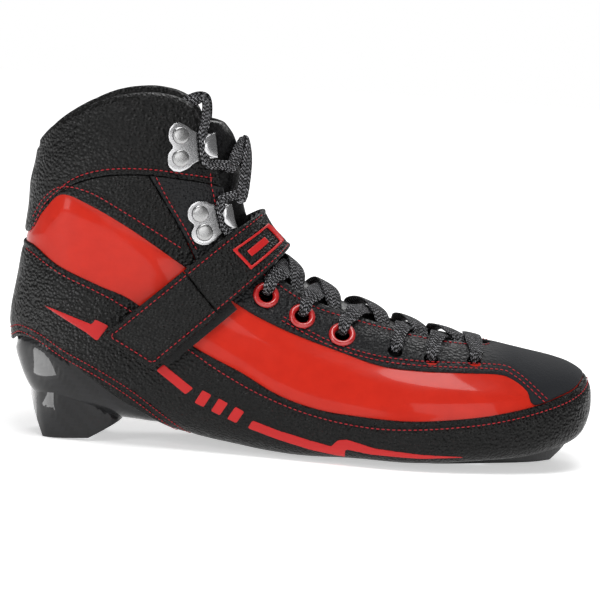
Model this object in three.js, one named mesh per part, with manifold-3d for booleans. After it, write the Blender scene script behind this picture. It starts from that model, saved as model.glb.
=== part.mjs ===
// Speed-skate boot, right foot. Millimetres, +X to the toe, +Y to the inner side
// of the foot, +Z up. Every layer of the upper is a shell between two offsets of one
// body surface, cut by outlines drawn in side view.
import * as THREE from 'three';
import * as BufferGeometryUtils from 'three/addons/utils/BufferGeometryUtils.js';
import Module from 'manifold-3d';

// ---- driving dimensions (mm) ----
const BOOT_LENGTH = 290;      // heel to toe, over the leather
const BALL_WIDTH = 101;       // widest place, at the ball of the foot
const BOOT_HEIGHT = 184;      // mounting plane to the top of the cuff
const LEATHER = 1.3;          // overlay leather
const GAP = 0.3;              // air between neighbouring layers
const UNDERLAY = 1.2;         // patent leather seen through the windows
const CARBON = 1.5;           // shell laminate
const LINING = 3.5;           // padded lining
const TONGUE = 4.8;           // padded tongue
const TONGUE_OVERLAP = 5;     // tongue under each facing
const HEEL_STEP = 12.5;       // heel mounting face above the toe mounting face
const MOUNT_SPACING = 195;    // between the two mounting slots
const SLOT_LENGTH = 20;       // sideways travel of a mounting bolt
const SLOT_WIDTH = 7;
const EYELET_OUTER = 13.2;
const EYELET_BORE = 7.4;
const PUNCHED_HOLE = 7.6;
const RIVET_HEAD = 7.6;
const HOOK_METAL = 0.9;
const LACE_WIDTH = 8;
const LACE_THICKNESS = 1.3;
const STRAP_WIDTH = 28;
const STRAP_THICKNESS = 2.2;
const AGLET_LENGTH = 16;

const kx = BOOT_LENGTH / 290, ky = BALL_WIDTH / 101, kz = BOOT_HEIGHT / 184;

// ---- body surface ----
// One row for each section of the last: bottom point x,z, top point x,z, half width to
// the outer and to the inner side, height share of the widest place, roundness below
// and above it, sideways shift of the centre.
const SECTIONS = [
  [145, 30, 145, 30, 0, 0, .45, 2.6, 2.2, 7],
  [143.5, 20, 143.5, 38, 14, 14, .42, 2.8, 2.2, 7],
  [138, 11, 138, 44, 26, 25, .38, 3.2, 2.2, 6.5],
  [127, 6, 127, 48.5, 36, 34, .35, 3.5, 2.2, 6],
  [110, 3, 110, 53, 43, 40, .33, 4.2, 2.1, 4.5],
  [85, 2, 87, 59, 49, 45, .30, 4.6, 2.0, 3],
  [55, 1.5, 60, 66, 51, 48, .28, 4.6, 1.95, 1],
  [25, 3.4, 35, 76, 47, 45, .27, 4.4, 1.9, 0],
  [-5, 4.2, 10, 87.5, 41.5, 40.5, .27, 4, 1.85, 0],
  [-38, 10, -8, 101, 38, 37.5, .30, 3.6, 1.85, 0],
  [-72, 17, -20, 114, 36, 36, .34, 3.2, 1.9, 0],
  [-105, 21.5, -25, 129, 34.5, 34.5, .38, 2.8, 1.95, 0],
  [-131, 29, -26, 142, 34, 34, .42, 2.6, 2.0, 0],
  [-142, 48, -27, 153, 34.5, 34.5, .45, 2.4, 2.0, 0],
  [-144.5, 70, -30, 163, 35.5, 35.5, .45, 2.3, 2.0, 0],
  [-140, 95, -36, 172, 36.5, 36.5, .45, 2.2, 2.0, 0],
  [-136, 118, -42, 182, 37, 37, .45, 2.2, 2.0, 0],
  [-131.5, 145, -47, 194, 37, 37, .45, 2.2, 2.0, 0],
  [-127, 172, -50, 208, 37.5, 37.5, .45, 2.2, 2.0, 0],
].map(r => [r[0] * kx, r[1] * kz, r[2] * kx, r[3] * kz, r[4] * ky, r[5] * ky, r[6], r[7], r[8], r[9] * ky]);
const LAST = SECTIONS.length - 1;

const row = i => {
  if (i < 0) { const r = SECTIONS[-i]; return [r[2], r[3], r[0], r[1], -r[4], -r[5], r[6], r[7], r[8], r[9]]; }
  if (i > LAST) return SECTIONS[LAST].map((v, k) => 2 * v - SECTIONS[2 * LAST - i][k]);
  return SECTIONS[i];
};

// Section values at any station s, by a spline through the rows.
function section(s) {
  const c = Math.min(Math.max(s, -0.9), LAST + 0.9), i = Math.floor(c), f = c - i;
  const [a, b, d, e] = [row(i - 1), row(i), row(i + 1), row(i + 2)];
  return b.map((v, k) => 0.5 * (2 * v + (d[k] - a[k]) * f + (2 * a[k] - 5 * v + 4 * d[k] - e[k]) * f * f
    + (3 * v - a[k] - 3 * d[k] + e[k]) * f * f * f));
}

// Point of the outer skin: a = 0 under the sole, PI on the crown, 0..PI on the outer side.
function skinPoint(s, a, soft = false) {
  const [bx, bz, tx, tz, wo, wi, tm, nb, nt, c] = section(s);
  const ca = Math.cos(a), sa = Math.sin(a);
  let n = ca > 0 ? nb : nt;
  if (soft && n > 2) n = 2 + (n - 2) * 0.3;
  const r = (Math.abs(ca) ** n + Math.abs(sa) ** n) ** (-1 / n);
  const t = ca > 0 ? tm - tm * r * ca : tm - (1 - tm) * r * ca;
  const w = r * sa;
  return new THREE.Vector3(bx + (tx - bx) * t, c - w * (w > 0 ? wo : wi), bz + (tz - bz) * t);
}

function skinNormal(s, a) {
  if (s < 0.02) return new THREE.Vector3(1, 0, 0);
  const ds = skinPoint(s + 0.03, a, true).sub(skinPoint(s - 0.03, a, true));
  const da = skinPoint(s, a + 0.03, true).sub(skinPoint(s, a - 0.03, true));
  return da.cross(ds).normalize();
}

const skin = (s, a, d = 0) => skinPoint(s, a).addScaledVector(skinNormal(s, a), d);

// Angle on section s at which the skin stands y off the centre, on the crown side.
function crownAngle(s, y) {
  const [, , , , wo, wi, , , nt, c] = section(s);
  const w = Math.min((y < c ? (c - y) / wo : (y - c) / wi), 0.999);
  const a = Math.atan2(w, -((1 - w ** nt) ** (1 / nt)));
  return y < c ? a : -a;
}
const crown = (s, y, d = 0) => skin(s, crownAngle(s, y), d);

// Station and angle of a place given in side view.
function locate(x, z, side = 1) {
  const off = s => {
    const [bx, bz, tx, tz] = section(s);
    return ((tx - bx) * (z - bz) - (tz - bz) * (x - bx)) / Math.hypot(tx - bx, tz - bz);
  };
  let best = [1e9, 0];
  for (let s = 1; s < LAST; s += 0.5) {
    const [bx, bz, tx, tz] = section(s);
    const t = ((x - bx) * (tx - bx) + (z - bz) * (tz - bz)) / ((tx - bx) ** 2 + (tz - bz) ** 2);
    const miss = Math.abs(off(s)) + 60 * Math.max(0, -t, t - 1);
    if (miss < best[0]) best = [miss, s];
  }
  let lo = best[1] - 0.6, hi = best[1] + 0.6;
  for (let k = 0; k < 40; k++) { const m = (lo + hi) / 2; if (off(lo) * off(m) <= 0) hi = m; else lo = m; }
  const s = (lo + hi) / 2, [bx, bz, tx, tz, , , tm, nb, nt] = section(s);
  const t = Math.min(Math.max(((x - bx) * (tx - bx) + (z - bz) * (tz - bz)) / ((tx - bx) ** 2 + (tz - bz) ** 2), 0.001), 0.999);
  const n = t < tm ? nb : nt, q = t < tm ? (tm - t) / tm : (t - tm) / (1 - tm);
  const w = (1 - q ** n) ** (1 / n);
  return { s, a: side * Math.atan2(w, t < tm ? q : -q) };
}

// ---- solids ----
const wasm = await Module();
wasm.setup();

function toSolid(geometry) {
  let g = geometry.clone();
  g.deleteAttribute('normal');
  g.deleteAttribute('uv');
  g = BufferGeometryUtils.mergeVertices(g, 1e-5);
  const mesh = new wasm.Mesh({ numProp: 3, vertProperties: new Float32Array(g.attributes.position.array), triVerts: new Uint32Array(g.index.array) });
  mesh.merge();
  return new wasm.Manifold(mesh);
}

function fromRings(rings, { poleStart = null, poleEnd = null } = {}) {
  const pos = [], idx = [], m = rings[0].length;
  for (const ring of rings) for (const p of ring) pos.push(p.x, p.y, p.z);
  for (let i = 0; i + 1 < rings.length; i++) for (let j = 0; j < m; j++) {
    const a = i * m + j, b = i * m + (j + 1) % m, c = a + m, d = b + m;
    idx.push(a, b, d, a, d, c);
  }
  const centre = ring => ring.reduce((s, p) => s.add(p), new THREE.Vector3()).divideScalar(m);
  const p0 = poleStart ?? centre(rings[0]), p1 = poleEnd ?? centre(rings[rings.length - 1]);
  const k0 = pos.length / 3, k1 = k0 + 1, e = (rings.length - 1) * m;
  pos.push(p0.x, p0.y, p0.z, p1.x, p1.y, p1.z);
  for (let j = 0; j < m; j++) { idx.push(k0, (j + 1) % m, j); idx.push(k1, e + j, e + (j + 1) % m); }
  const g = new THREE.BufferGeometry();
  g.setAttribute('position', new THREE.Float32BufferAttribute(pos, 3));
  g.setIndex(idx);
  let s = toSolid(g);
  if (s.volume() < 0) { g.setIndex(idx.slice().reverse()); s = toSolid(g); }
  return s;
}

// Solid bounded by the skin moved out by d (d may be a function of s, a).
const STATIONS = [0.4, 1, 1.7, 2.5, 3.5, 4.5, 5.4, 6.2, 7, 7.6, 8.2, 8.8, 9.4, 10, 10.6, 11.3, 12, 13, 14.2, 15.5, 17, 18.3];
const ROUND = 26;
function body(d, from = 0, to = LAST + 0.5, round = ROUND) {
  const off = typeof d === 'function' ? d : () => d;
  const st = STATIONS.filter(s => s > from + 0.1 && s < to - 0.1);
  if (from > 0) st.unshift(from);
  st.push(to);
  const rings = st.map(s => Array.from({ length: round }, (_, j) => {
    const a = -Math.PI + (j + 0.5) * 2 * Math.PI / round;
    return skin(s, a, off(s, a));
  }));
  return fromRings(rings, from > 0 ? {} : { poleStart: skin(0, 0, off(0, 0)) });
}

const side = pts => pts.map(([x, z]) => new THREE.Vector2(x * kx, z * kz));
const curve = (pts, n = 2) => new THREE.SplineCurve(side(pts)).getPoints(n * (pts.length - 1));
const poly = pts => side(pts);

// Prism of a side-view outline from y0 to y1.
function prism(outline, y0 = -80, y1 = 80) {
  const g = new THREE.ExtrudeGeometry(new THREE.Shape(outline), { depth: y1 - y0, bevelEnabled: false });
  g.applyMatrix4(new THREE.Matrix4().makeRotationX(Math.PI / 2));
  g.translate(0, y1, 0);
  return toSolid(g);
}
// Prism of a top-view outline from z0 to z1.
function slab(outline, z0, z1) {
  const g = new THREE.ExtrudeGeometry(new THREE.Shape(outline), { depth: z1 - z0, bevelEnabled: false });
  g.translate(0, 0, z0);
  return toSolid(g);
}
function box(x0, x1, y0, y1, z0, z1) {
  const g = new THREE.BoxGeometry(x1 - x0, y1 - y0, z1 - z0);
  g.translate((x0 + x1) / 2, (y0 + y1) / 2, (z0 + z1) / 2);
  return toSolid(g);
}
// Turned piece: profile of [radius, height] along the axis given by a place and a direction.
function turned(profile, place, axis, round = 20) {
  const g = new THREE.LatheGeometry(profile.map(p => new THREE.Vector2(p[0], p[1])), round);
  g.applyQuaternion(new THREE.Quaternion().setFromUnitVectors(new THREE.Vector3(0, 1, 0), axis.clone().normalize()));
  g.translate(place.x, place.y, place.z);
  return toSolid(g);
}
const half = s => s > 0 ? box(-200, 200, -90, -GAP / 2, -50, 260) : box(-200, 200, GAP / 2, 90, -50, 260);
const above = line => [...line, new THREE.Vector2(210, line.at(-1).y), new THREE.Vector2(210, 300), new THREE.Vector2(-210, 300), new THREE.Vector2(-210, line[0].y)];
const below = line => [...line, new THREE.Vector2(210, line.at(-1).y), new THREE.Vector2(210, -60), new THREE.Vector2(-210, -60), new THREE.Vector2(-210, line[0].y)];
const inset = (line, dz) => line.map(p => new THREE.Vector2(p.x, p.y + dz));

// ---- outlines in side view ----
const cuffLine = curve([[-152, 92], [-137, 113], [-129, 124], [-119, 134], [-108, 140], [-93, 143.6], [-74, 143.5], [-54.5, 140.5], [-43, 138], [-20, 131]]);
const rimLine = curve([[-160, 150], [-130.5, 150.5], [-123, 162], [-112, 172], [-98, 179], [-84, 182.6], [-68, 183.4], [-56, 180.5], [-49, 174], [-44, 160]]);
const seamLine = curve([[-80, 154], [-72.8, 142.5], [-66.5, 131.4], [-59.3, 118.7], [-53.5, 107.2], [-46, 88]]);
const windowTop = curve([[-160, 118], [-137, 113.5], [-127, 125], [-117, 134], [-103, 129.3], [-83.5, 117.8], [-59.3, 100.4], [-30, 79.5], [-14.2, 70.7],
  [1.5, 63.9], [20, 57.4], [38.5, 51.4], [57, 48.9], [80, 47.3], [97, 46], [105, 43], [111, 38], [114.6, 31.2], [128.8, 34.9], [135.9, 37.2], [141.4, 40.7], [152, 46]]);
const windowFoot = curve([[-160, 112], [-136.5, 109.5], [-130, 107.4], [-118, 99], [-98, 89.4], [-82, 82], [-53.7, 60.8], [-29.7, 47.7], [-11.2, 36.7], [7.3, 30.3],
  [26.2, 27.5], [47.9, 25.5], [66.3, 25.5], [91.3, 27], [114.3, 30.5], [128.8, 34.4], [135.9, 36.6], [141.4, 40.2], [152, 45.5]]);
const heelLine = curve([[-165, 55], [-148, 57], [-139.5, 62.8], [-129.2, 61], [-116, 53.6], [-91, 34.2], [-75.8, 24.2], [-60.8, 14], [-50, 4], [-40, -10]]);

// ---- throat: half width of the opening at each station ----
const THROAT = [[4.68, 0.5], [4.8, 7], [5.1, 12], [5.6, 15], [6.2, 17], [7, 18.5], [8, 18], [9, 17], [10, 17], [12, 19], [13, 20], [15, 19.5], [16, 19], [18.5, 20]];
const throatHalf = s => {
  let k = 0;
  while (k < THROAT.length - 2 && THROAT[k + 1][0] < s) k++;
  const [[s0, g0], [s1, g1]] = [THROAT[k], THROAT[k + 1]];
  return (g0 + (g1 - g0) * Math.min(Math.max((s - s0) / (s1 - s0), 0), 1)) * ky;
};
// Wedge that opens a layer along the crown, `extra` wider than the throat.
function throatWedge(extra, from, deep = 16) {
  const rings = [];
  for (const s of [from, from + 0.15, from + 0.5, 6, 7, 8, 9, 10, 11, 12, 13, 14, 15, 16, 17, 18.7].filter((v, i, l) => i === 0 || v > l[i - 1] + 0.05)) {
    const g = Math.max(throatHalf(Math.max(s, 4.68)) + extra, 0.6), c = section(s)[9];
    const e = s === from ? Math.max(g * 0.35, 0.5) : g;
    const ring = [];
    for (const f of [-1, -0.6, -0.2, 0.2, 0.6, 1]) ring.push(crown(s, c + f * e, 14));
    for (const f of [1, 0.6, 0.2, -0.2, -0.6, -1]) ring.push(crown(s, c + f * e * 0.96, -deep));
    rings.push(ring);
  }
  return fromRings(rings);
}

// ---- the nested skins ----
const A0 = 0, A1 = -LEATHER, B0 = A1 - GAP, B1 = B0 - UNDERLAY, C0 = B1 - GAP, C1 = C0 - CARBON, D0 = C1 - GAP, D1 = D0 - LINING;
const T0 = A1 - 2.9, T1 = T0 - TONGUE;
const skinA0 = body(A0), skinA1 = body(A1), skinB0 = body(B0), skinB1 = body(B1);
const overlay = skinA0.subtract(body(A1, 0, LAST + 0.8));
const throat = throatWedge(0, 4.68);
const rim = prism(below(rimLine));
const soleOutline = new THREE.Shape();
const solePoints = d => {
  const pts = [];
  const st = [1.2, 2, 3, 4, 5, 6, 7, 8];
  for (const s of st) { const r = section(s); pts.push(new THREE.Vector2(r[0] + (s < 1.5 ? -d * 0.6 : 0), r[9] - r[4] + d)); }
  pts.push(new THREE.Vector2(-30 * kx, -14 * ky), new THREE.Vector2(-30 * kx, 14 * ky));
  for (const s of st.reverse()) { const r = section(s); pts.push(new THREE.Vector2(r[0] + (s < 1.5 ? -d * 0.6 : 0), r[9] + r[5] - d)); }
  return pts;
};
const soleWindow = slab(solePoints(13), -20, 14 * kz);

// ---- hardware places: side view x,z ----
const EYELETS = [[-17.2, 83.9], [0.5, 73.6], [20.1, 65], [46, 57.4], [63.6, 53.4], [85, 51.6]];   // ankle to toe
const RINGS = 3;                                  // the three nearest the ankle carry metal rings
const HOOKS = { lower: { at: [-48.85, 119.5], to: [-35.5, 122.9], rivet: 4.8 }, upper: { at: [-58.85, 157], to: [-44.1, 156.4], rivet: 5.5 } };

// Local frame lying on the skin: u along `to`, v across it, h out of the skin.
function patchFrame(at, to, sd) {
  const { s, a } = locate(at[0] * kx, at[1] * kz, sd), e = 0.02;
  const p = skinPoint(s, a), n = skinNormal(s, a);
  const ps = skinPoint(s + e, a).sub(skinPoint(s - e, a)).divideScalar(2 * e), pa = skinPoint(s, a + e).sub(skinPoint(s, a - e)).divideScalar(2 * e);
  const q = locate(to[0] * kx, to[1] * kz, sd), u = skinPoint(q.s, q.a).sub(p);
  u.addScaledVector(n, -u.dot(n)).normalize();
  const v = new THREE.Vector3().crossVectors(n, u).multiplyScalar(sd);
  const gss = ps.dot(ps), gsa = ps.dot(pa), gaa = pa.dot(pa), det = gss * gaa - gsa * gsa;
  const map = (U, V, h) => {
    const w = u.clone().multiplyScalar(U).addScaledVector(v, V), ws = w.dot(ps), wa = w.dot(pa);
    return skin(s + (ws * gaa - wa * gsa) / det, a + (wa * gss - ws * gsa) / det, h);
  };
  return { map, p, n, u, v, sd };
}
// Cylinder through the layers at a place on the skin.
const drill = (f, U, V, r, h0, h1, round = 12) => {
  const p = f.map(U, V, 0), n = f.map(U, V, 2).sub(p).normalize();
  return turned([[0, h0], [r, h0], [r, h1], [0, h1]], p, n, round);
};

const solids = {}, looks = {};
const add = (name, look, solid) => { solids[name] = solid; looks[name] = look; };

for (const [name, sd] of [['lateral', 1], ['medial', -1]]) {
  const h = half(sd);
  add(`quarter_${name}`, 'grain', overlay.intersect(h).intersect(prism(below(windowFoot))).subtract(prism(below(heelLine))).subtract(soleWindow));
  add(`ankle_panel_${name}`, 'grain', overlay.intersect(h).intersect(prism(above(windowTop))).intersect(prism(below(inset(cuffLine, -0.4))))
    .intersect(prism([...seamLine.map(p => new THREE.Vector2(p.x - 0.4, p.y)), new THREE.Vector2(-200, 60), new THREE.Vector2(-200, 170)])));
  add(`underlay_${name}`, 'patent', skinB0.subtract(skinB1).intersect(h).intersect(prism(above(inset(windowFoot, -5)))).intersect(prism(below(inset(windowTop, 2))))
    .subtract(box(118 * kx, 200, -90, 90, -50, 200)));
  add(`lining_${name}`, 'lining', body(D0).subtract(body(D1, 1.2, LAST + 0.8)).intersect(h).intersect(rim).subtract(throatWedge(12, 4.3, 20)));
}
const seamFront = [...seamLine, new THREE.Vector2(200, 60), new THREE.Vector2(200, 170)];
add('vamp', 'suede', overlay.intersect(prism(above(windowTop))).intersect(prism(below(inset(cuffLine, -0.4))))
  .intersect(prism(seamFront).add(box(-20, 200, -90, 90, -50, 200))).subtract(throat));
const thin = skinA1.intersect(throatWedge(8, 4.68)).add(skinA1.intersect(prism(below(inset(cuffLine, 5)))));
add('cuff', 'grain', skinA0.subtract(body(C1, 0, LAST + 0.8)).subtract(thin).intersect(prism(above(cuffLine))).intersect(rim).subtract(throat));

const carbonTop = curve([[-165, 100], [-144, 100], [-128, 92], [-104, 66], [-78, 46], [-40, 30], [0, 21], [50, 15], [110, 15], [132, 19], [160, 24]]);
add('carbon_shell', 'carbon', body(C0).subtract(body(C1)).intersect(prism(below(carbonTop))));
const footbed = curve([[-150, 48], [-134, 44], [-116, 35], [-72, 32.5], [-38, 27.5], [0, 21.5], [50, 16.3], [110, 16.8], [136, 26], [150, 33]]);
add('insole', 'lining', body(D1 - GAP, 1.2).intersect(prism(below(footbed))));
add('tongue', 'grain', body(T0, 0, LAST + 0.5).subtract(body(T1, 1, LAST + 0.8)).intersect(throatWedge(TONGUE_OVERLAP, 4.5, 20)).intersect(box(-200, 200, -90, 90, 0, 171 * kz)));

// ---- mounting blocks ----
const heelX = (82 - MOUNT_SPACING) * kx, toeX = 82 * kx;
const stadium = (cx, cy, len, wid) => {
  const pts = [], r = wid / 2, l = (len - wid) / 2;
  for (let k = 0; k <= 8; k++) pts.push(new THREE.Vector2(cx + r * Math.cos(Math.PI * k / 8), cy + l + r * Math.sin(Math.PI * k / 8)));
  for (let k = 0; k <= 8; k++) pts.push(new THREE.Vector2(cx - r * Math.cos(Math.PI * k / 8), cy - l - r * Math.sin(Math.PI * k / 8)));
  return pts;
};
const plate = (cx, cy, lx, ly, z0, z1) => box(cx - lx / 2, cx + lx / 2, cy - ly / 2, cy + ly / 2, z0, z1);
const heelOutline = new THREE.SplineCurve([[-135, 0], [-131, 13], [-122, 21], [-108, 22.5], [-97, 20.5], [-90, 14], [-88, 0], [-90, -14], [-97, -20.5], [-108, -22.5], [-122, -21], [-131, -13], [-135, 0]]
  .map(([x, y]) => new THREE.Vector2(x * kx, y * ky))).getPoints(36).slice(0, -1);
const slotH = slab(stadium(heelX, 0, SLOT_LENGTH + SLOT_WIDTH, SLOT_WIDTH), -5, HEEL_STEP + 9);
add('heel_block', 'carbon', slab(heelOutline, 0, 60).intersect(prism(poly([[-140, 44], [-128, HEEL_STEP / kz], [-105, HEEL_STEP / kz], [-88, 21], [-88, 44]]))).subtract(skinB1)
  .subtract(plate(heelX, 0, 18, 34, 0, HEEL_STEP + 4.3)).subtract(slotH));
add('heel_insert', 'alloy', plate(heelX, 0, 17.4, 33.4, HEEL_STEP, HEEL_STEP + 4).subtract(slotH));
const toeOutline = new THREE.SplineCurve([[56, 0], [58, 20], [66, 26.5], [90, 27], [112, 26], [124, 22.5], [131, 15], [133, 5], [131, -5], [124, -12.5], [112, -20], [90, -23], [66, -24], [58, -19], [56, 0]]
  .map(([x, y]) => new THREE.Vector2(x * kx, y * ky))).getPoints(42).slice(0, -1);
const slotT = slab(stadium(toeX, 1.5, SLOT_LENGTH + SLOT_WIDTH, SLOT_WIDTH), -5, 5);
add('toe_block', 'carbon', slab(toeOutline, -5, 30).intersect(prism(poly([[50, 20], [58, 0], [123.5, 0], [140, 12], [140, 20]]))).subtract(skinB1)
  .subtract(body(GAP).subtract(slab(solePoints(13.4), -30, 20))).subtract(plate(toeX, 1.5, 18, 36, -1, 3.3)).subtract(slotT));
add('toe_insert', 'alloy', plate(toeX, 1.5, 17.4, 35.4, 0, 3).subtract(slotT));

// ---- eyelets, hooks, rivets ----
const cuts = { vamp: [], cuff: [] };
const frames = {};
// Strip of sheet metal: path of [u, h, half width] on a patch frame.
function metalStrip(f, path, t) {
  const rings = path.map(([u, h, w], i) => {
    const [u0, h0] = path[Math.max(i - 1, 0)], [u1, h1] = path[Math.min(i + 1, path.length - 1)];
    const l = Math.hypot(u1 - u0, h1 - h0), nu = -(h1 - h0) / l * t / 2, nh = (u1 - u0) / l * t / 2;
    const ring = [];
    for (const k of [-1, 0, 1]) ring.push(f.map(u + nu, k * w, h + nh));
    for (const k of [1, 0, -1]) ring.push(f.map(u - nu, k * w, h - nh));
    return ring;
  });
  return fromRings(rings);
}
for (const [name, sd] of [['lateral', 1], ['medial', -1]]) {
  EYELETS.forEach((at, i) => {
    const f = patchFrame(at, [at[0] + 3, at[1] + 10], sd), r = EYELET_OUTER / 2, b = EYELET_BORE / 2;
    frames[`eye_${name}_${i}`] = f;
    if (i < RINGS) {
      add(`eyelet_${name}_${i + 1}`, 'patent', turned([[b, -1.55], [b + 0.35, -1.55], [b + 0.35, GAP + 0.2], [r, GAP + 0.2], [r, 1], [r - 0.9, 1.8], [b + 1, 2], [b, 1.2], [b, -1.55]], f.p, f.n, 18));
      cuts.vamp.push(drill(f, 0, 0, b + 0.65, -6, 6));
    } else cuts.vamp.push(drill(f, 0, 0, PUNCHED_HOLE / 2, -6, 6));
  });
  for (const [level, spec] of Object.entries(HOOKS)) {
    const f = patchFrame(spec.at, spec.to, sd), h = GAP + HOOK_METAL / 2;
    frames[`hook_${name}_${level}`] = f;
    let hook = metalStrip(f, [[-6.2, h, spec.rivet + 0.4], [-5, h, spec.rivet + 3.9], [-3, h, spec.rivet + 5.6], [0, h, spec.rivet + 6.3], [3, h, spec.rivet + 5.4], [6, h, 8.8], [9, h, 7.4], [12, h, 6.8], [14.8, h, 6.7],
      [16.8, h + 0.5, 6.7], [17.9, h + 1.8, 6.7], [17.6, h + 3.1, 6.6], [16.2, h + 3.9, 6.4], [14, h + 4, 5.9], [12.2, h + 3.8, 4.9]], HOOK_METAL);
    for (const v of [1, -1]) {
      const V = v * spec.rivet;
      hook = hook.subtract(drill(f, 0, V, 1.7, -6, 8));
      cuts[level === 'upper' ? 'cuff' : 'vamp'].push(drill(f, 0, V, 1.7, -6, 6));
      const p = f.map(0, V, 0), n = f.map(0, V, 2).sub(p).normalize(), R = RIVET_HEAD / 2;
      add(`rivet_${name}_${level}_${v > 0 ? 'top' : 'bottom'}`, 'chrome', turned([[0, -2.2], [1.4, -2.2], [1.4, 1.6], [R, 1.6], [R, 2.1], [R * 0.7, 3.1], [0, 3.5]], p, n, 12));
    }
    add(`hook_${name}_${level}`, 'chrome', hook);
  }
}
for (const [k, list] of Object.entries(cuts)) for (const c of list) solids[k] = solids[k].subtract(c);

// ---- strap: a belt whose width runs along `across` and which lies in the plane of `along` and Y ----
const along = new THREE.Vector2(0.78, 0.626), across = new THREE.Vector2(-0.626, 0.78);
const beltPoint = (e, a) => new THREE.Vector2((e * along.x + a * across.x) * kx, (e * along.y + a * across.y) * kz);
const beltMid = 97.6, S0 = 3.6, S1 = S0 + STRAP_THICKNESS;
const belt = (e0, e1, a0, a1, skew = 0) => prism([beltPoint(e0 + skew, a0), beltPoint(e1, a0), beltPoint(e1, a1), beltPoint(e0, a1)]);
const beltLow = beltMid - STRAP_WIDTH / 2, beltHigh = beltMid + STRAP_WIDTH / 2;
const beltLayer = (d0, d1) => body(d1, 3).subtract(body(d0, 2.6, LAST + 0.8));
const strapLayer = beltLayer(S0, S1);
const TAB = 15, HINGE = 42, END = -34;
const lateral = box(-200, 200, -90, 0, -50, 260), medial = box(-200, 200, 0, 90, -50, 260);
add('strap', 'grain', strapLayer.intersect(prism([[TAB + 0.4, beltLow], [38, beltLow + 0.6], [48, beltLow + 0.6], [60, beltLow - 2.6], [90, beltLow - 3.6], [90, beltHigh - 4], [50, beltHigh - 3], [38, beltHigh], [TAB + 0.4, beltHigh]].map(p => beltPoint(...p)))).subtract(medial.intersect(belt(-200, HINGE + 0.4, 0, 200))));
add('strap_tab', 'grain', strapLayer.intersect(belt(END, TAB, beltLow, beltHigh, 9)).intersect(lateral));
add('strap_anchor', 'grain', strapLayer.intersect(belt(-6, HINGE, beltLow, beltHigh)).intersect(medial));
add('hook_patch', 'lining', beltLayer(2.1, 3.3).intersect(belt(END + 8, TAB - 3, beltLow + 3, beltHigh - 3, 6)).intersect(lateral));
add('loop_patch', 'lining', beltLayer(0.3, 1.8).intersect(belt(-26, 24, 80, beltHigh - 2, 7)).intersect(lateral));
add('strap_badge', 'patent', beltLayer(S1 + 0.3, S1 + 0.8).intersect(prism([[-35.9, 105.1], [-26.6, 94.6], [-12.5, 104.5], [-21.5, 114.8]].map(([x, z]) => new THREE.Vector2(x * kx, z * kz)))).intersect(lateral));

// ---- lace: one flat cord, from aglet to aglet, entering every hole from outside ----
// A stop is a point, the skin normal there, the width of the cord, and the direction of
// that width where it isn't simply square to the run.
const eyeStation = EYELETS.map(([x, z]) => locate(x * kx, z * kz).s);
const crownStop = (s, y, d, w = LACE_WIDTH) => ({ p: crown(s, y, d), n: skinNormal(s, crownAngle(s, y)), w });
const ringDip = [[9.5, 1.75], [7.4, 2.75], [5, 3.25], [3, 2.7], [1.8, 1.2], [1.5, -0.7], [2.2, -2.4], [4.4, -2.9], [8, -2.9]];
const punchDip = [[7, 1.15], [4.8, 1.2], [2.8, 0.9], [1.5, -0.4], [1.8, -2], [4, -2.85], [7, -2.9]];
const hookTurn = [[30, -11.3, 0], [24.5, -10.9, 1.65], [20, -10.4, 1.65], [16.5, -10, 1.8], [12.8, -8.8, 2.2], [11.5, -4.5, 2.5], [11.5, 0, 2.55], [11.5, 4.5, 2.5], [12.8, 8.8, 2.2], [16.5, 10, 1.8], [20, 10.4, 1.65], [24.5, 10.9, 1.65], [30, 11.3, 0]];

function throughEyelet(stops, name, i) {
  const f = frames[`eye_${name}_${i}`], ring = i < RINGS;
  for (const [U, h] of ring ? ringDip : punchDip) stops.push({ p: f.map(U, 0, h), n: f.n, w: U < 2.5 ? (ring ? 4.4 : 4.2) : U < 5.5 ? 6 : 7, dir: f.v });
}
function aroundHook(stops, name, level, low, high) {
  const f = frames[`hook_${name}_${level}`];
  const turn = level === 'upper' ? hookTurn.slice(0, 8) : hookTurn;
  turn.forEach(([U, V, h], k) => stops.push({ p: f.map(U, V, k === 0 ? low : k === 12 ? high : h), n: f.n, w: k === 0 || k === 12 ? 6.5 : 5 }));
}
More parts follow.
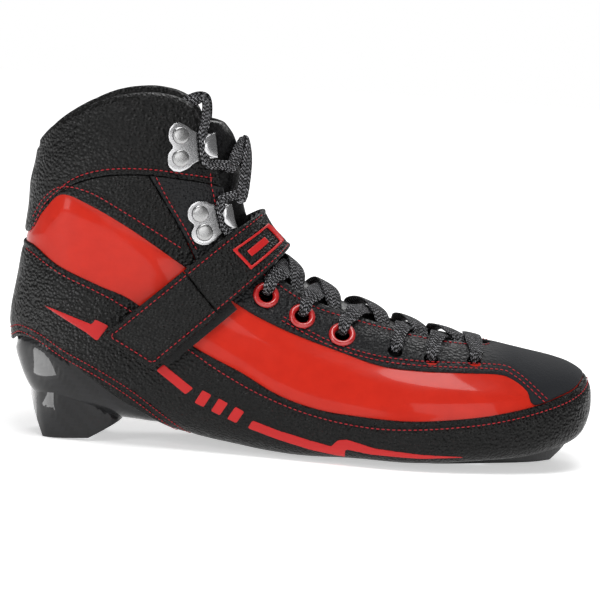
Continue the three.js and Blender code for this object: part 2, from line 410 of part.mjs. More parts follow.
// Crown run from hand k at station s0 to the other hand at s1; heights at half way out, middle, half way in.
function crossOver(stops, k, s0, s1, [d1, d2, d3], toHook) {
  const at = (f, y, d, w) => { const s = s0 + (s1 - s0) * f; stops.push(crownStop(s, section(s)[9] + y(throatHalf(s)), d, w)); };
  if (s0 < 8) at(0.12, g => k * (g + 4.5), -2.9, 7);
  at(0.2, g => k * (g - 1.2), -2.75, 7);
  at(0.34, g => k * 0.5 * g, d1);
  at(0.5, () => 0, d2);
  if (toHook) return;
  at(0.66, g => -k * 0.5 * g, d3);
  at(0.82, g => -k * (g - 1.2), 1.7);
  if (s1 < 8) at(0.9, g => -k * (g + 4.5), 1.9, 7);
}
function strand(first, over) {
  const stops = [];
  let k = first === 'lateral' ? -1 : 1, lift = over;
  const hand = () => (k < 0 ? 'lateral' : 'medial');
  stops.push(crownStop(eyeStation[5], section(eyeStation[5])[9] + k * 9, 1.1));
  for (let i = EYELETS.length - 1; i >= 0; i--) {
    throughEyelet(stops, hand(), i);
    if (i > 0) crossOver(stops, k, eyeStation[i], eyeStation[i - 1], lift ? [0.1, 0.5, 1.2] : [-2.2, -1.7, -1.5]);
    else crossOver(stops, k, eyeStation[0], 11.3, lift ? [0.7, 1.2] : [-1.7, -1.2], true);
    k = -k;
    if (i > 0) lift = !lift;
  }
  aroundHook(stops, hand(), 'lower', lift ? 1.6 : -0.6, lift ? 0.2 : 2);
  lift = !lift;
  stops.push(crownStop(13.35, 0, lift ? 2 : 0));
  k = -k;
  aroundHook(stops, hand(), 'upper', lift ? 2 : 0.2, 0);
  const f = frames[`hook_${hand()}_upper`], sd = k < 0 ? 1 : -1;
  const inside = (s, a, d, w) => ({ p: skin(s, sd * a, d), n: skinNormal(s, sd * a), w });
  stops.push({ p: f.map(12.2, 8.5, 2), n: f.n, w: 5 }, { p: f.map(14.2, 12.3, 1.7), n: f.n, w: 5 });
  stops.push(crownStop(15.85, k * 16.6 * ky, 0.6, 5), crownStop(16.1, k * 15.6 * ky, -2.4, 5), crownStop(16.2, k * 20.5 * ky, -5.4, 5), crownStop(16.15, k * 27 * ky, -9.3, 5.5));
  stops.push(inside(16, 2.12, -9.9, 6), inside(15.6, 1.95, -10, 7), inside(14.8, 1.82, -10.2, 7), inside(13.8, 1.74, -10.6, 7), inside(12.9, 1.7, -11.1, 4));
  const end = inside(12.4, 1.69, -11.4, 2.4), before = stops.at(-1).p, run = end.p.clone().sub(before).normalize();
  stops.push(end);
  stops.push({ ...end, p: end.p.clone().addScaledVector(run, 6) }, { ...end, p: end.p.clone().addScaledVector(run, 13) });
  return { stops, end: end.p, run };
}
const strandA = strand('lateral', true), strandB = strand('medial', false);
const stops = [...strandA.stops.slice().reverse(), ...strandB.stops];

function ribbon(list, thickness) {
  const path = new THREE.CatmullRomCurve3(list.map(q => q.p), false, 'centripetal');
  const rings = [];
  let last = null;
  list.forEach((q, i) => {
    const t = path.getTangent(i / (list.length - 1));
    const d = q.dir ? q.dir.clone() : new THREE.Vector3().crossVectors(q.n, t);
    d.addScaledVector(t, -d.dot(t)).normalize();
    if (last && d.dot(last) < 0) d.negate();
    last = d.clone();
    const up = new THREE.Vector3().crossVectors(t, d), w = q.w / 2, h = thickness / 2;
    rings.push([[w, h * 0.5], [w * 0.86, h], [-w * 0.86, h], [-w, h * 0.5], [-w, -h * 0.5], [-w * 0.86, -h], [w * 0.86, -h], [w, -h * 0.5]].filter((_, k) => k % 4 !== 0 && k % 4 !== 3)
      .map(([a, b]) => q.p.clone().addScaledVector(d, a / 0.86).addScaledVector(up, b)));
  });
  return fromRings(rings);
}
add('lace', 'lace', ribbon(stops, LACE_THICKNESS));
for (const [name, st] of [['a', strandA], ['b', strandB]]) {
  const start = st.end.clone().addScaledVector(st.run, 1.5);
  add(`aglet_${name}`, 'chrome', turned([[1.7, 0], [2.1, 0], [2.1, AGLET_LENGTH - 1], [1.2, AGLET_LENGTH], [0, AGLET_LENGTH], [0, AGLET_LENGTH - 1.5], [1.7, AGLET_LENGTH - 1.5], [1.7, 0]], start, st.run, 12));
}

const group = new THREE.Group();
group.name = 'speed_skate_boot';
const paint = {
  grain: { color: 0x17171a, roughness: 0.5 }, suede: { color: 0x2b2c2f, roughness: 0.75 }, patent: { color: 0xc8102a, roughness: 0.12 },
  carbon: { color: 0x0d0e10, roughness: 0.15 }, chrome: { color: 0xd8dade, metalness: 1, roughness: 0.15 }, lining: { color: 0x1a1a1c, roughness: 0.9 },
  lace: { color: 0x2a2a2c, roughness: 0.8 }, alloy: { color: 0x9a9ca0, metalness: 1, roughness: 0.35 },
};
function node(name, solid, look) {
  const m = solid.getMesh(), g = new THREE.BufferGeometry();
  const v = m.vertProperties, n = m.numProp, pos = new Float32Array(v.length / n * 3);
  for (let i = 0; i < v.length / n; i++) pos.set([v[i * n], v[i * n + 1], v[i * n + 2]], i * 3);
  g.setAttribute('position', new THREE.BufferAttribute(pos, 3));
  g.setIndex(new THREE.BufferAttribute(new Uint32Array(m.triVerts), 1));
  g.computeVertexNormals();
  const mesh = new THREE.Mesh(g, new THREE.MeshStandardMaterial(paint[look]));
  mesh.name = name;
  group.add(mesh);
}
for (const [k, s] of Object.entries(solids)) node(k, s, looks[k]);
// Off its frame the boot rests on both blocks, so it leans back by the heel step.
group.rotation.y = -Math.atan2(HEEL_STEP, (58 + 128) * kx);
group.updateMatrixWorld(true);
const extent = new THREE.Box3().setFromObject(group, true);
group.position.set(-(extent.min.x + extent.max.x) / 2, -(extent.min.y + extent.max.y) / 2, -extent.min.z);
export default group;
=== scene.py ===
# %% [markdown]
# # A speed-skate boot
# The boot is a right foot racing boot: black pebbled leather over a carbon shell, with red
# patent leather showing through long windows in its sides. The CAD model already holds every
# part at its true size. Here each part gets the surface that a hand and an eye would find on it.

# %% Tools
import math

import bmesh
import bpy
import numpy as np
from mathutils import Matrix, Vector


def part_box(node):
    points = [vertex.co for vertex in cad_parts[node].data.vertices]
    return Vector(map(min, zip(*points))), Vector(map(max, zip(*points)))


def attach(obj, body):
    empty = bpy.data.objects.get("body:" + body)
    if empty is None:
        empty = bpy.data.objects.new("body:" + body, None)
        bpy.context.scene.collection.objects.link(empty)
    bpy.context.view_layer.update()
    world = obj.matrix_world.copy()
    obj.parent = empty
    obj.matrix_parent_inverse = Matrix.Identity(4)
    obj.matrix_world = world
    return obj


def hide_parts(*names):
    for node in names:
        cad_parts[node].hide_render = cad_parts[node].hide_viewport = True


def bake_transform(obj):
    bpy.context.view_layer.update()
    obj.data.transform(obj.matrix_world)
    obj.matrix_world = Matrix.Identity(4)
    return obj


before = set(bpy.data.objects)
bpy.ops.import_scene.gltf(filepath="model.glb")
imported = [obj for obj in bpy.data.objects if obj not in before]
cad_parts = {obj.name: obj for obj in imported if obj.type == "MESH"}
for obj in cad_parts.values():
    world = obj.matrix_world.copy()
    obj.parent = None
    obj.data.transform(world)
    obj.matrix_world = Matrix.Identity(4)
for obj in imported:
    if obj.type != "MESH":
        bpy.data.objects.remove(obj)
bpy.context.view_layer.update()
MM = 0.001
SIDES = {"lateral": 1, "medial": -1}

# %% [markdown]
# ## The body surface
# A shoe is built on a last, a wooden foot, and every layer of it is an offset of the last's
# surface. So the whole upper can be drawn from one function: a place along the foot, an angle
# round it and a height above it give one point. Each row of the list is one section of the
# last, and a spline runs through the rows. Sculpting by hand could give the same form, but then
# each layer would have to be fitted to the next by eye.

# %% Sections of the last, in millimetres
# bottom x,z, top x,z, half width outer, inner, height share of the widest place, roundness
# below and above it, sideways shift
SECTIONS = np.array([
    (145, 30, 145, 30, 0, 0, .45, 2.6, 2.2, 7),
    (143.5, 20, 143.5, 38, 14, 14, .42, 2.8, 2.2, 7),
    (138, 11, 138, 44, 26, 25, .38, 3.2, 2.2, 6.5),
    (127, 6, 127, 48.5, 36, 34, .35, 3.5, 2.2, 6),
    (110, 3, 110, 53, 43, 40, .33, 4.2, 2.1, 4.5),
    (85, 2, 87, 59, 49, 45, .30, 4.6, 2.0, 3),
    (55, 1.5, 60, 66, 51, 48, .28, 4.6, 1.95, 1),
    (25, 3.4, 35, 76, 47, 45, .27, 4.4, 1.9, 0),
    (-5, 4.2, 10, 87.5, 41.5, 40.5, .27, 4, 1.85, 0),
    (-38, 10, -8, 101, 38, 37.5, .30, 3.6, 1.85, 0),
    (-72, 17, -20, 114, 36, 36, .34, 3.2, 1.9, 0),
    (-105, 21.5, -25, 129, 34.5, 34.5, .38, 2.8, 1.95, 0),
    (-131, 29, -26, 142, 34, 34, .42, 2.6, 2.0, 0),
    (-142, 48, -27, 153, 34.5, 34.5, .45, 2.4, 2.0, 0),
    (-144.5, 70, -30, 163, 35.5, 35.5, .45, 2.3, 2.0, 0),
    (-140, 95, -36, 172, 36.5, 36.5, .45, 2.2, 2.0, 0),
    (-136, 118, -42, 182, 37, 37, .45, 2.2, 2.0, 0),
    (-131.5, 145, -47, 194, 37, 37, .45, 2.2, 2.0, 0),
    (-127, 172, -50, 208, 37.5, 37.5, .45, 2.2, 2.0, 0),
])
LAST = len(SECTIONS) - 1
before_toe = SECTIONS[1][[2, 3, 0, 1, 4, 5, 6, 7, 8, 9]] * np.array([1, 1, 1, 1, -1, -1, 1, 1, 1, 1])
ROWS = np.vstack([before_toe, SECTIONS, 2 * SECTIONS[-1] - SECTIONS[-2], 2 * SECTIONS[-1] - SECTIONS[-3]])


# %% From station and angle to a point
def spline_step(a, b, c, d, f):
    """The cubic that runs from b, where f is 0, to c, where f is 1, with a and d beyond them."""
    return 0.5 * (2 * b + (c - a) * f + (2 * a - 5 * b + 4 * c - d) * f ** 2
                  + (3 * b - a - 3 * c + d) * f ** 3)


def section(s):
    """The section of the last at a station, which need not be a whole number."""
    s = np.clip(np.asarray(s, float), 0, LAST + 0.9)
    i = np.floor(s).astype(int)
    f = (s - i)[..., None]
    a, b, c, d = (ROWS[i + k] for k in range(4))
    return spline_step(a, b, c, d, f)


def skin_point(s, a, soft=False):
    """Places on the last. Angle 0 looks down at the sole; soft rounds the section's corners."""
    s, a = np.broadcast_arrays(np.asarray(s, float), np.asarray(a, float))
    row = section(s)
    bx, bz, tx, tz, outer, inner, share, low, high, shift = (row[..., k] for k in range(10))
    ca, sa = np.cos(a), np.sin(a)
    n = np.where(ca > 0, low, high)
    if soft:
        n = np.where(n > 2, 2 + (n - 2) * 0.3, n)
    r = (np.abs(ca) ** n + np.abs(sa) ** n) ** (-1 / n)
    t = share - np.where(ca > 0, share, 1 - share) * r * ca
    w = r * sa
    return np.stack([bx + (tx - bx) * t, shift - w * np.where(w > 0, outer, inner), bz + (tz - bz) * t], -1)


def skin_normal(s, a):
    """Directions out of the last, taken from its softened form so that they turn evenly."""
    s, a = np.broadcast_arrays(np.asarray(s, float), np.asarray(a, float))
    safe = np.maximum(s, 0.06)
    along = skin_point(safe + 0.03, a, True) - skin_point(safe - 0.03, a, True)
    round_ = skin_point(safe, a + 0.03, True) - skin_point(safe, a - 0.03, True)
    n = np.cross(round_, along)
    n = n / np.maximum(np.linalg.norm(n, axis=-1, keepdims=True), 1e-9)
    blend = np.clip(s / 0.4, 0, 1)[..., None]
    n = n * blend + np.array([1.0, 0, 0]) * (1 - blend)
    return n / np.linalg.norm(n, axis=-1, keepdims=True)


def skin(s, a, d=0.0):
    """Places at a depth d over the last, in millimetres; minus is inside it."""
    return skin_point(s, a) + skin_normal(s, a) * np.asarray(d)[..., None]


def crown_angle(s, y):
    """The angle on the upper half of a section at a place y across the foot."""
    row = section(s)
    outer, inner, high, shift = row[..., 4], row[..., 5], row[..., 8], row[..., 9]
    w = np.minimum(np.where(y < shift, (shift - y) / outer, (y - shift) / inner), 0.999)
    a = np.arctan2(w, -((1 - w ** high) ** (1 / high)))
    return np.where(y < shift, a, -a)


def locate(points, side):
    """Station and angle of places given in side view."""
    p = np.asarray(points, float)
    grid = np.linspace(0.3, LAST + 0.6, 900)
    row = section(grid)
    bottom, top = row[:, 0:2], row[:, 2:4]
    span = top - bottom
    rel = p[:, None, :] - bottom[None]
    length = np.linalg.norm(span, axis=1)
    off = (span[:, 0] * rel[..., 1] - span[:, 1] * rel[..., 0]) / length
    t = (rel * span).sum(-1) / length ** 2
    miss = np.abs(off) + 60 * np.maximum(0, np.maximum(-t, t - 1))
    k = np.clip(miss.argmin(1), 1, len(grid) - 2)
    here = np.arange(len(p))
    o0, o1, o2 = off[here, k - 1], off[here, k], off[here, k + 1]
    back = o0 * o1 <= 0
    other = np.where(back, o0, o2)
    frac = np.clip(o1 / np.where(np.abs(o1 - other) < 1e-9, 1e-9, o1 - other), 0, 1)
    s = grid[k] + frac * np.where(back, grid[k - 1] - grid[k], grid[k + 1] - grid[k])
    row = section(s)
    bottom, span = row[:, 0:2], row[:, 2:4] - row[:, 0:2]
    t = np.clip(((p - bottom) * span).sum(-1) / (span ** 2).sum(-1), 0.001, 0.999)
    share = row[:, 6]
    n = np.where(t < share, row[:, 7], row[:, 8])
    q = np.where(t < share, (share - t) / share, (t - share) / (1 - share))
    w = (1 - q ** n) ** (1 / n)
    return s, side * np.arctan2(w, np.where(t < share, q, -q))


# %% [markdown]
# The last is drawn level on the faces that carry the skate frame. Standing on its own blocks
# the boot leans back by the heel step, so every point is turned and moved once into the frame
# that the CAD parts use. The shift is read from the toe insert of the CAD model.

# %% Into the frame of the CAD parts
HEEL_STEP, BLOCK_DISTANCE = 12.5, 186.0
LEAN = math.atan2(HEEL_STEP, BLOCK_DISTANCE)
insert_low, insert_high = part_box("toe_insert")
INSERT_MIDDLE = np.array([82, 1.5, 3.0])
INSERT_HALF = 8.7
middle_y = (insert_low.y + insert_high.y) / 2 / MM - INSERT_MIDDLE[1]
TURN = np.array([[math.cos(LEAN), 0, -math.sin(LEAN)], [0, 1, 0], [math.sin(LEAN), 0, math.cos(LEAN)]])
FOOT_OF_BLOCK = np.array([58.0, 0, 0])
insert_corner = (TURN @ (INSERT_MIDDLE * (1, 0, 1) - (INSERT_HALF, 0, 0)))[0]
SHIFT = np.array([insert_low.x / MM - insert_corner, middle_y, -(TURN @ FOOT_OF_BLOCK)[2]])
print("shift of the last, mm", SHIFT.round(3))


def place(points):
    """From the last's millimetres to the frame's metres."""
    return (np.asarray(points, float) @ TURN.T + SHIFT) * MM


def turn(vectors):
    """The same turn for directions."""
    return np.asarray(vectors, float) @ TURN.T


# %% [markdown]
# ## Cutting panels from the skin
# A shoemaker cuts leather along drawn outlines and turns the raw edge down. The same is done
# here: a fine grid is laid over the skin, the grid is split along each outline, and what lies
# outside is thrown away. Extra splits close to an edge give the leather its round lip and the
# small valley that a seam pulls into it. A boolean cut would be shorter to write, but it leaves
# ragged shading along the cut.

# %% A sheet of skin and how to split it
FINE = 1.0


def sheet_grid(s_from, s_to, seam_at_sole=False, step=0.05, turns=210):
    """Stations, angles and faces of a grid that goes all round the last."""
    rows = int(round((s_to - s_from) / (step * FINE))) + 1
    columns = int(turns / FINE)
    start = 0.0 if seam_at_sole else -math.pi
    s, a = np.meshgrid(np.linspace(s_from, s_to, rows), start + np.linspace(0, 2 * math.pi, columns + 1),
                       indexing="ij")
    k = np.arange(rows * (columns + 1)).reshape(rows, columns + 1)
    quads = np.stack([k[:-1, :-1], k[:-1, 1:], k[1:, 1:], k[1:, :-1]], -1).reshape(-1, 4)
    return s.ravel(), a.ravel(), [tuple(q) for q in quads.tolist()]


def split(sheet, field, level=0.0, trim=False):
    """Splits faces where the field crosses the level. With trim, only the upper side stays."""
    s, a, faces = sheet
    if not faces:
        return sheet
    v = field(s, a) - level
    v = np.where(np.abs(v) < 0.06, 0.0, v)
    counts = np.array([len(f) for f in faces])
    starts = np.concatenate([[0], np.cumsum(counts)[:-1]])
    flat = v[np.fromiter((i for f in faces for i in f), int, counts.sum())]
    low, high = np.minimum.reduceat(flat, starts), np.maximum.reduceat(flat, starts)
    new_s, new_a, known, out = [], [], {}, []

    def crossing(i, j):
        key = (i, j) if i < j else (j, i)
        if key not in known:
            t = v[i] / (v[i] - v[j])
            known[key] = len(s) + len(new_s)
            new_s.append(s[i] + (s[j] - s[i]) * t)
            new_a.append(a[i] + (a[j] - a[i]) * t)
        return known[key]

    for face, lo, hi in zip(faces, low, high):
        if lo >= 0 or hi <= 0:
            if not trim or hi > 0:
                out.append(face)
            continue
        upper, lower = [], []
        for i, j in zip(face, face[1:] + face[:1]):
            if v[i] >= 0:
                upper.append(i)
            if v[i] <= 0:
                lower.append(i)
            if v[i] * v[j] < 0:
                mid = crossing(i, j)
                upper.append(mid)
                lower.append(mid)
        if len(upper) > 2:
            out.append(tuple(upper))
        if len(lower) > 2 and not trim:
            out.append(tuple(lower))
    return np.concatenate([s, new_s]), np.concatenate([a, new_a]), out


# %% Outlines in side view
def spline_through(p, n):
    """Runs from the second row of p to the last but one, with n steps between rows."""
    f = np.linspace(0, 1, n, endpoint=False)[:, None]
    steps = [spline_step(*p[i:i + 4], f) for i in range(len(p) - 3)]
    return np.vstack(steps + [p[-2:-1]])


def curve(points, n=8):
    """A spline through given points."""
    p = np.asarray(points, float)
    return spline_through(np.vstack([p[0], p, p[-1]]), n)


def distance(line, x, z, closed=False):
    """Signed distance to a line: positive on its left, which is above a line drawn to the toe."""
    ends = np.vstack([line[1:], line[:1]]) if closed else line[1:]
    starts = line if closed else line[:-1]
    best, sign, reach = np.full(len(x), 1e18), np.ones(len(x)), np.zeros(len(x))
    for (ax, az), (bx, bz) in zip(starts, ends):
        dx, dz = bx - ax, bz - az
        length = dx * dx + dz * dz
        if length < 1e-9:
            continue
        t = np.clip(((x - ax) * dx + (z - az) * dz) / length, 0, 1)
        d = (x - ax - t * dx) ** 2 + (z - az - t * dz) ** 2
        side = (dx * (z - az) - dz * (x - ax)) / math.sqrt(length)
        closer = (d < best - 1e-7) | ((d < best + 1e-7) & (np.abs(side) > reach))
        best, sign = np.where(closer, d, best), np.where(closer, np.sign(side), sign)
        reach = np.where(closer, np.abs(side), reach)
    return np.sqrt(best) * sign


def above(line, lift=0.0):
    return lambda s, a: distance(line, *skin_point(s, a)[:, [0, 2]].T) - lift


def below(line, lift=0.0):
    return lambda s, a: lift - distance(line, *skin_point(s, a)[:, [0, 2]].T)


CUFF_FOOT = curve([(-152, 92), (-137, 113), (-129, 124), (-119, 134), (-108, 140), (-93, 143.6),
                   (-74, 143.5), (-54.5, 140.5), (-43, 138), (-20, 131)])
RIM = curve([(-160, 154), (-132.5, 155), (-129, 160), (-121.5, 167.5), (-111, 174), (-98, 179.4),
             (-84, 182.6), (-68, 183.4), (-56, 180.5), (-49, 174), (-44, 160)])
ANKLE_SEAM = curve([(-80, 154), (-72.8, 142.5), (-66.5, 131.4), (-59.3, 118.7), (-53.5, 107.2), (-46, 88)])
WINDOW_TOP = curve([(-160, 118), (-137, 113.5), (-127, 125), (-117, 134), (-103, 129.3), (-83.5, 117.8),
                    (-59.3, 100.4), (-30, 79.5), (-14.2, 70.7), (1.5, 63.9), (20, 57.4), (38.5, 51.4),
                    (57, 48.9), (80, 47.3), (97, 46), (105, 43), (111, 38), (114.6, 31.2), (128.8, 34.9),
                    (135.9, 37.2), (141.4, 40.7), (152, 46)])
WINDOW_FOOT = curve([(-160, 112), (-136.5, 109.5), (-130, 107.4), (-118, 99), (-98, 89.4), (-82, 82),
                     (-53.7, 60.8), (-29.7, 47.7), (-11.2, 36.7), (7.3, 30.3), (26.2, 27.5), (47.9, 25.5),
                     (66.3, 25.5), (91.3, 27), (114.3, 30.5), (128.8, 34.4), (135.9, 36.6), (141.4, 40.2),
                     (152, 45.5)])
HEEL_EDGE = curve([(-165, 55), (-148, 57), (-139.5, 62.8), (-129.2, 61), (-116, 53.6), (-91, 34.2),
                   (-75.8, 24.2), (-60.8, 14), (-50, 4), (-40, -10)])
THROAT = np.array([(3.5, -30), (4.5, -5), (4.68, .5), (4.8, 7), (5.1, 12), (5.6, 15), (6.2, 17), (7, 18.5),
                   (8, 18), (9, 17), (10, 17), (12, 19), (13, 20), (15, 19.5), (16, 19), (18.9, 20)])


def throat_half(s):
    return np.interp(s, THROAT[:, 0], THROAT[:, 1])


def beside_throat(extra=0.0):
    """Positive outside the opening for the tongue."""
    def field(s, a):
        p = skin_point(s, a)
        off = np.abs(p[:, 1] - section(s)[:, 9]) - throat_half(s) - extra
        return np.where(np.cos(a) < 0, off, 60.0)
    return field


# %% From a sheet to a piece with a round lip
LIP_SHARES = (0.1, 0.35, 0.7, 1.0)
ON_EDGE = 0.08


def grid_faces(rows, columns):
    """Faces of a sheet whose points are listed row by row."""
    return [(k, k + 1, k + columns + 1, k + columns)
            for i in range(rows - 1) for k in range(i * columns, (i + 1) * columns - 1)]


def tube_faces(rings, count):
    """Faces between closed rings of points."""
    return [(i * count + j, i * count + (j + 1) % count, (i + 1) * count + (j + 1) % count,
             (i + 1) * count + j)
            for i in range(rings - 1) for j in range(count)]


def lip(t, r):
    """Depth of a turned edge of radius r at distance t from the cut."""
    t = np.minimum(np.maximum(t, 0), r)
    return np.sqrt(np.maximum(r * r - (r - t) ** 2, 0)) - r


def swell(t, wide):
    """Goes softly from 0 to 1 over a width."""
    t = np.clip(t / wide, 0, 1)
    return t * t * (3 - 2 * t)


def cut_sheet(grid, edges, lips=(), valleys=()):
    """Trims a grid to its edges, and adds splits for lips (edge, radius) and stitch valleys."""
    for edge in edges:
        grid = split(grid, edge, 0.0, trim=True)
    for edge, radius in lips:
        for share in LIP_SHARES:
            grid = split(grid, edge, radius * share)
    for valley in valleys:
        for level in (-0.8, 0.0, 0.8):
            grid = split(grid, valley, level)
    return grid


def mesh_object(name, points, faces, material, smooth_below=38, smooth_all=False):
    corners = np.fromiter((i for f in faces for i in f), int)
    used, renumbered = np.unique(corners, return_inverse=True)
    ends = np.cumsum([0] + [len(f) for f in faces])
    renumbered = renumbered.tolist()
    faces = [renumbered[i:j] for i, j in zip(ends[:-1], ends[1:])]
    mesh = bpy.data.meshes.new(name)
    mesh.from_pydata(np.asarray(points)[used].tolist(), [], faces)
    mesh.materials.append(material)
    obj = bpy.data.objects.new(name, mesh)
    bpy.context.collection.objects.link(obj)
    weld(obj, 0.00003)
    mesh.shade_smooth()
    if not smooth_all:
        mesh.set_sharp_from_angle(angle=math.radians(smooth_below))
    return obj


def thicken(obj, thickness, offset=-1):
    """Gives a sheet its thickness, in millimetres: inwards, or to both sides when offset is 0."""
    solid = obj.modifiers.new("thickness", "SOLIDIFY")
    solid.thickness, solid.offset = thickness * MM, offset


def round_edges(obj, width, angle):
    """Bevels edges that turn by more than the angle, in degrees; the width is in millimetres."""
    bevel = obj.modifiers.new("round edges", "BEVEL")
    bevel.width, bevel.segments, bevel.limit_method = width * MM, 3, "ANGLE"
    bevel.angle_limit = math.radians(angle)


def weld(obj, gap):
    """Joins points that lie closer than the gap."""
    bm = bmesh.new()
    bm.from_mesh(obj.data)
    bmesh.ops.remove_doubles(bm, verts=bm.verts, dist=gap)
    bmesh.ops.dissolve_degenerate(bm, edges=bm.edges, dist=gap / 2)
    bm.to_mesh(obj.data)
    bm.free()


def bake(obj):
    """Turns the evaluated object into a plain mesh and drops its modifiers."""
    bpy.context.view_layer.update()
    done = bpy.data.meshes.new_from_object(obj.evaluated_get(bpy.context.evaluated_depsgraph_get()))
    obj.modifiers.clear()
    obj.data = done
    return obj


def leather_piece(name, sheet, depth, thickness, material, smooth_below=38):
    """Lifts a sheet to its depth and gives it its thickness, inwards."""
    s, a, faces = sheet
    obj = mesh_object(name, place(skin(s, a, depth)), faces, material, smooth_all=True)
    thicken(obj, thickness)
    bake(obj)
    obj.data.shade_smooth()
    obj.data.set_sharp_from_angle(angle=math.radians(smooth_below))
    print(name, len(obj.data.polygons), "faces")
    return obj


# %% [markdown]
# ## Finishes
# Every finish is worked out from the object's own coordinates, in metres, so grain and weave
# keep their true size on every piece. Leather grain is a cell pattern with rounded cells; carbon
# cloth is a twill of crossing bundles under clear resin; a lace is a braid of two thread colours.
# Constants go straight on the shader, and only what varies over the surface comes from nodes.

# %% Helpers for node materials
def finish_of(name, colour, roughness, **sockets):
    material = bpy.data.materials.new(name)
    material.use_nodes = True
    shader = material.node_tree.nodes["Principled BSDF"]
    shader.inputs["Base Color"].default_value = (*colour, 1)
    shader.inputs["Roughness"].default_value = roughness
    for key, value in sockets.items():
        shader.inputs[key.replace("_", " ")].default_value = value
    return material


def node(material, kind, values=None, **settings):
    made = material.node_tree.nodes.new(kind)
    for key, value in settings.items():
        setattr(made, key, value)
    for key, value in (values or {}).items():
        made.inputs[key].default_value = value
    return made


def link(material, start, end):
    material.node_tree.links.new(start, end)


def coordinates(material, kind="Object", scale=(1, 1, 1), turned=(0, 0, 0)):
    source = node(material, "ShaderNodeTexCoord")
    mapping = node(material, "ShaderNodeMapping", {"Scale": scale, "Rotation": turned})
    link(material, source.outputs[kind], mapping.inputs["Vector"])
    return mapping.outputs["Vector"]


def noise(material, where, scale, detail=3.0, roughness=0.55):
    made = node(material, "ShaderNodeTexNoise", {"Scale": scale, "Detail": detail, "Roughness": roughness})
    link(material, where, made.inputs["Vector"])
    return made.outputs["Fac"]


def between(material, value, low, high, to_low=0.0, to_high=1.0):
    ends = {"From Min": low, "From Max": high, "To Min": to_low, "To Max": to_high}
    made = node(material, "ShaderNodeMapRange", ends)
    link(material, value, made.inputs["Value"])
    return made.outputs["Result"]


def combine(material, operation, first, second):
    made = node(material, "ShaderNodeMath", operation=operation)
    for socket, value in zip(made.inputs, (first, second)):
        if isinstance(value, (int, float)):
            socket.default_value = value
        else:
            link(material, value, socket)
    return made.outputs["Value"]


def tint(material, value, dark, light):
    ramp = node(material, "ShaderNodeValToRGB")
    ramp.color_ramp.elements[0].color = (*dark, 1)
    ramp.color_ramp.elements[1].color = (*light, 1)
    link(material, value, ramp.inputs["Fac"])
    link(material, ramp.outputs["Color"], material.node_tree.nodes["Principled BSDF"].inputs["Base Color"])
    return ramp


def relief(material, height, depth, strength=1.0, under=None):
    """Bump of a true depth in metres. Coats and layers are stacked through `under`."""
    bump = node(material, "ShaderNodeBump", {"Strength": strength, "Distance": depth})
    link(material, height, bump.inputs["Height"])
    if under is not None:
        link(material, under, bump.inputs["Normal"])
    link(material, bump.outputs["Normal"], material.node_tree.nodes["Principled BSDF"].inputs["Normal"])
    return bump.outputs["Normal"]


def rough_by(material, value, low, high):
    shader = material.node_tree.nodes["Principled BSDF"]
    link(material, between(material, value, 0.3, 0.7, low, high), shader.inputs["Roughness"])


# %% Leathers
def round_cells(m, where, scale):
    """Domes of leather grain: 1 on top of each cell and 0 in the creases round it."""
    cells = node(m, "ShaderNodeTexVoronoi", {"Scale": scale, "Randomness": 0.9, "Smoothness": 0.35},
                 feature="SMOOTH_F1")
    link(m, where, cells.inputs["Vector"])
    return between(m, cells.outputs["Distance"], 0.05, 0.75, 1.0, 0.0)


def pebbled(name, colour, cell=0.0016, depth=0.0008, gloss=0.34, sheen=0.0):
    """Embossed leather: rounded cells, finer creases in them, and slow waves from the last; the creases are
    painted dark as shade and the cell tops light as a highlight.
    """
    m = finish_of(name, colour, gloss, Specular_IOR_Level=0.22, Sheen_Weight=sheen, Sheen_Roughness=0.4)
    where = coordinates(m)
    domes = round_cells(m, where, 1 / cell)
    creases = noise(m, where, 2200, 4)
    waves = noise(m, where, 70, 2)
    height = combine(m, "ADD", domes, combine(m, "MULTIPLY", creases, 0.35))
    slow = relief(m, waves, 0.0007, 0.6)
    relief(m, height, depth, 1.0, slow)
    rough_by(m, noise(m, where, 260, 3), gloss - 0.09, gloss + 0.12)
    # Painted shade and highlight: dark in the creases between the cells, light on their tops, times a random
    # tone from the slow waves.
    tint(m, combine(m, "MULTIPLY", domes, waves), tuple(c * 0.3 for c in colour),
         tuple(c * 2.2 for c in colour))
    return m


BLACK = (0.004, 0.004, 0.0038)
RED = (0.6, 0.02, 0.009)
boot_leather = pebbled("pebbled_black_leather", BLACK)
cuff_leather = pebbled("cuff_leather", (0.004, 0.004, 0.0039), 0.0017, 0.0008, 0.36)
strap_leather = pebbled("strap_leather", (0.0055, 0.0055, 0.0052), 0.0015, 0.0008, 0.36)


